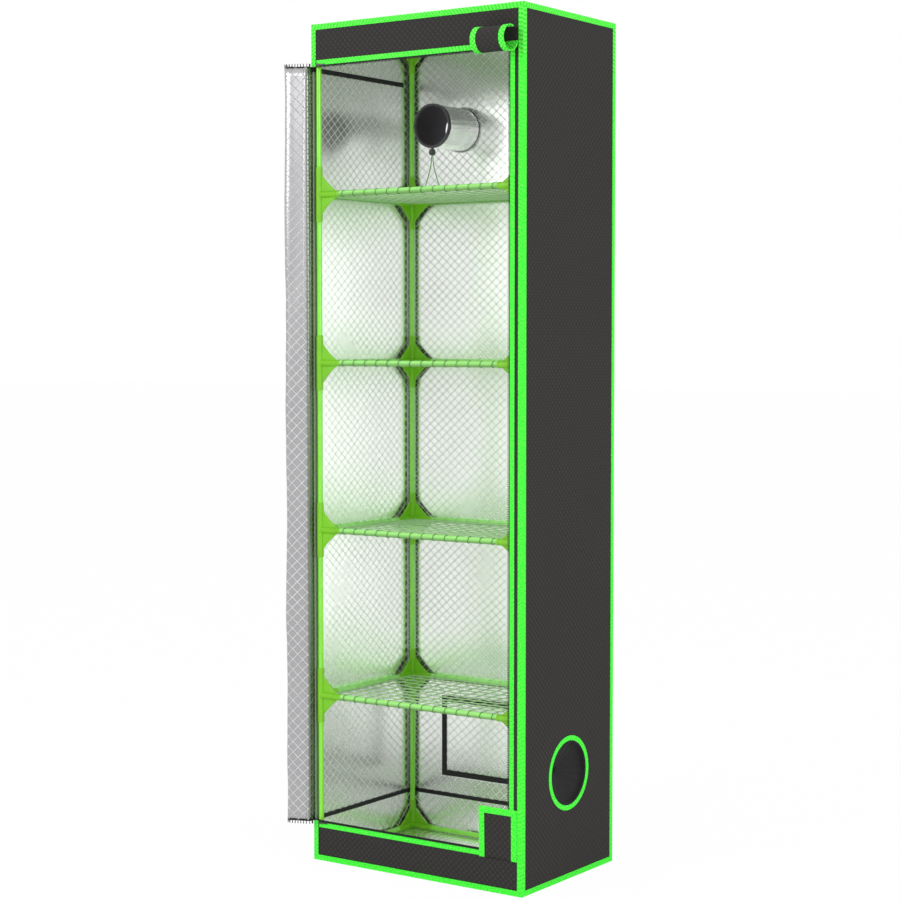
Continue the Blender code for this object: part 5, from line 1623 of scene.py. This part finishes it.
def add_camera():
    """The photograph's view: eye level, from the front right."""
    data = bpy.data.cameras.new("camera")
    data.sensor_width, data.lens = 36.0, 81.45
    camera = bpy.data.objects.new("camera", data)
    camera.location = (2.765, -3.996, 1.258)
    camera.rotation_euler = (math.radians(86.87), 0, math.radians(35.05))
    bpy.context.scene.collection.objects.link(camera)
    bpy.context.scene.camera = camera
    bpy.context.scene.view_settings.view_transform = "Standard"


class GROWTENT_OT_camera(Operator):
    """Place the camera"""

    bl_idname = "grow_tent.add_camera"
    bl_label = "Camera"

    def execute(self, context):
        add_camera()
        return {"FINISHED"}


class GROWTENT_OT_drawcord(Operator):
    """Make the drawcord and give its lock a finish"""

    bl_idname = "grow_tent.add_drawcord"
    bl_label = "Drawcord and lock"

    def execute(self, context):
        add_drawcord()
        return {"FINISHED"}


class GROWTENT_OT_skin(Operator):
    """Make the walls, roof, floor and front of the tent's skin"""

    bl_idname = "grow_tent.add_skin"
    bl_label = "Skin"

    def execute(self, context):
        add_side_walls()
        add_back_wall()
        add_roof_and_floor()
        add_front()
        return {"FINISHED"}


class GROWTENT_OT_edge_tapes(Operator):
    """Make the green tape on the twelve edges"""

    bl_idname = "grow_tent.add_edge_tapes"
    bl_label = "Edge tapes"

    def execute(self, context):
        add_edge_tapes()
        return {"FINISHED"}


class GROWTENT_OT_opening_trim(Operator):
    """Make the tape and the zip round the door opening, and give its sliders a finish"""

    bl_idname = "grow_tent.add_opening_trim"
    bl_label = "Opening trim"

    def execute(self, context):
        add_opening_trim()
        add_sliders()
        return {"FINISHED"}


class GROWTENT_OT_frame(Operator):
    """Make the posts, connectors and rods"""

    bl_idname = "grow_tent.add_frame"
    bl_label = "Frame"

    def execute(self, context):
        add_frame()
        return {"FINISHED"}


class GROWTENT_OT_nets(Operator):
    """Make the four net shelves and their lacing"""

    bl_idname = "grow_tent.add_nets"
    bl_label = "Net shelves"

    def execute(self, context):
        add_nets()
        return {"FINISHED"}


class GROWTENT_OT_door(Operator):
    """Make the folded-back door with its zip halves"""

    bl_idname = "grow_tent.add_door"
    bl_label = "Door"

    def execute(self, context):
        add_door()
        return {"FINISHED"}


class GROWTENT_OT_tray(Operator):
    """Make the loose floor tray"""

    bl_idname = "grow_tent.add_tray"
    bl_label = "Floor tray"

    def execute(self, context):
        add_tray()
        return {"FINISHED"}


class GROWTENT_OT_duct_sleeve(Operator):
    """Make the duct sleeve and the ring round its hole"""

    bl_idname = "grow_tent.add_duct_sleeve"
    bl_label = "Duct sleeve"

    def execute(self, context):
        add_duct_sleeve()
        return {"FINISHED"}


class GROWTENT_OT_vent(Operator):
    """Make the vent's mesh and its flap"""

    bl_idname = "grow_tent.add_vent"
    bl_label = "Vent"

    def execute(self, context):
        add_vent()
        return {"FINISHED"}


class GROWTENT_OT_port(Operator):
    """Make the round port's ring and closed sleeve"""

    bl_idname = "grow_tent.add_port"
    bl_label = "Round port"

    def execute(self, context):
        add_port()
        return {"FINISHED"}


class GROWTENT_OT_flaps(Operator):
    """Make the two corner flaps and the strip on the left wall"""

    bl_idname = "grow_tent.add_flaps"
    bl_label = "Corner flaps and wall strip"

    def execute(self, context):
        add_lower_flap()
        add_rolled_flap()
        add_wall_strip()
        return {"FINISHED"}


class GROWTENT_OT_stage(Operator):
    """Make the floor, the lamps and the white surround"""

    bl_idname = "grow_tent.add_stage"
    bl_label = "Stage"

    def execute(self, context):
        add_stage()
        return {"FINISHED"}


STEPS = (GROWTENT_OT_camera, GROWTENT_OT_drawcord, GROWTENT_OT_skin, GROWTENT_OT_edge_tapes,
         GROWTENT_OT_opening_trim, GROWTENT_OT_frame, GROWTENT_OT_nets, GROWTENT_OT_door, GROWTENT_OT_tray,
         GROWTENT_OT_duct_sleeve, GROWTENT_OT_vent, GROWTENT_OT_port, GROWTENT_OT_flaps, GROWTENT_OT_stage)


class GROWTENT_PT_panel(Panel):
    """Lists the sizes, colours and steps of the tent"""

    bl_label = "Grow tent"
    bl_space_type = "VIEW_3D"
    bl_region_type = "UI"
    bl_category = "Grow tent"

    def draw(self, context):
        for group_of in (context.scene.grow_tent_sizes, context.scene.grow_tent_colours):
            box = self.layout.box()
            for name in group_of.__annotations__:
                box.prop(group_of, name)
        for step in STEPS:
            self.layout.operator(step.bl_idname)


CLASSES = (GROWTENT_PG_sizes, GROWTENT_PG_colours, *STEPS, GROWTENT_PT_panel)


def register():
    for made in CLASSES:
        bpy.utils.register_class(made)
    bpy.types.Scene.grow_tent_sizes = PointerProperty(type=GROWTENT_PG_sizes)
    bpy.types.Scene.grow_tent_colours = PointerProperty(type=GROWTENT_PG_colours)


def unregister():
    del bpy.types.Scene.grow_tent_colours
    del bpy.types.Scene.grow_tent_sizes
    for made in reversed(CLASSES):
        bpy.utils.unregister_class(made)


def main():
    """Runs every step in order."""
    register()
    for step in STEPS:
        area, name = step.bl_idname.split(".")
        getattr(getattr(bpy.ops, area), name)()


if __name__ == "__main__":
    main()
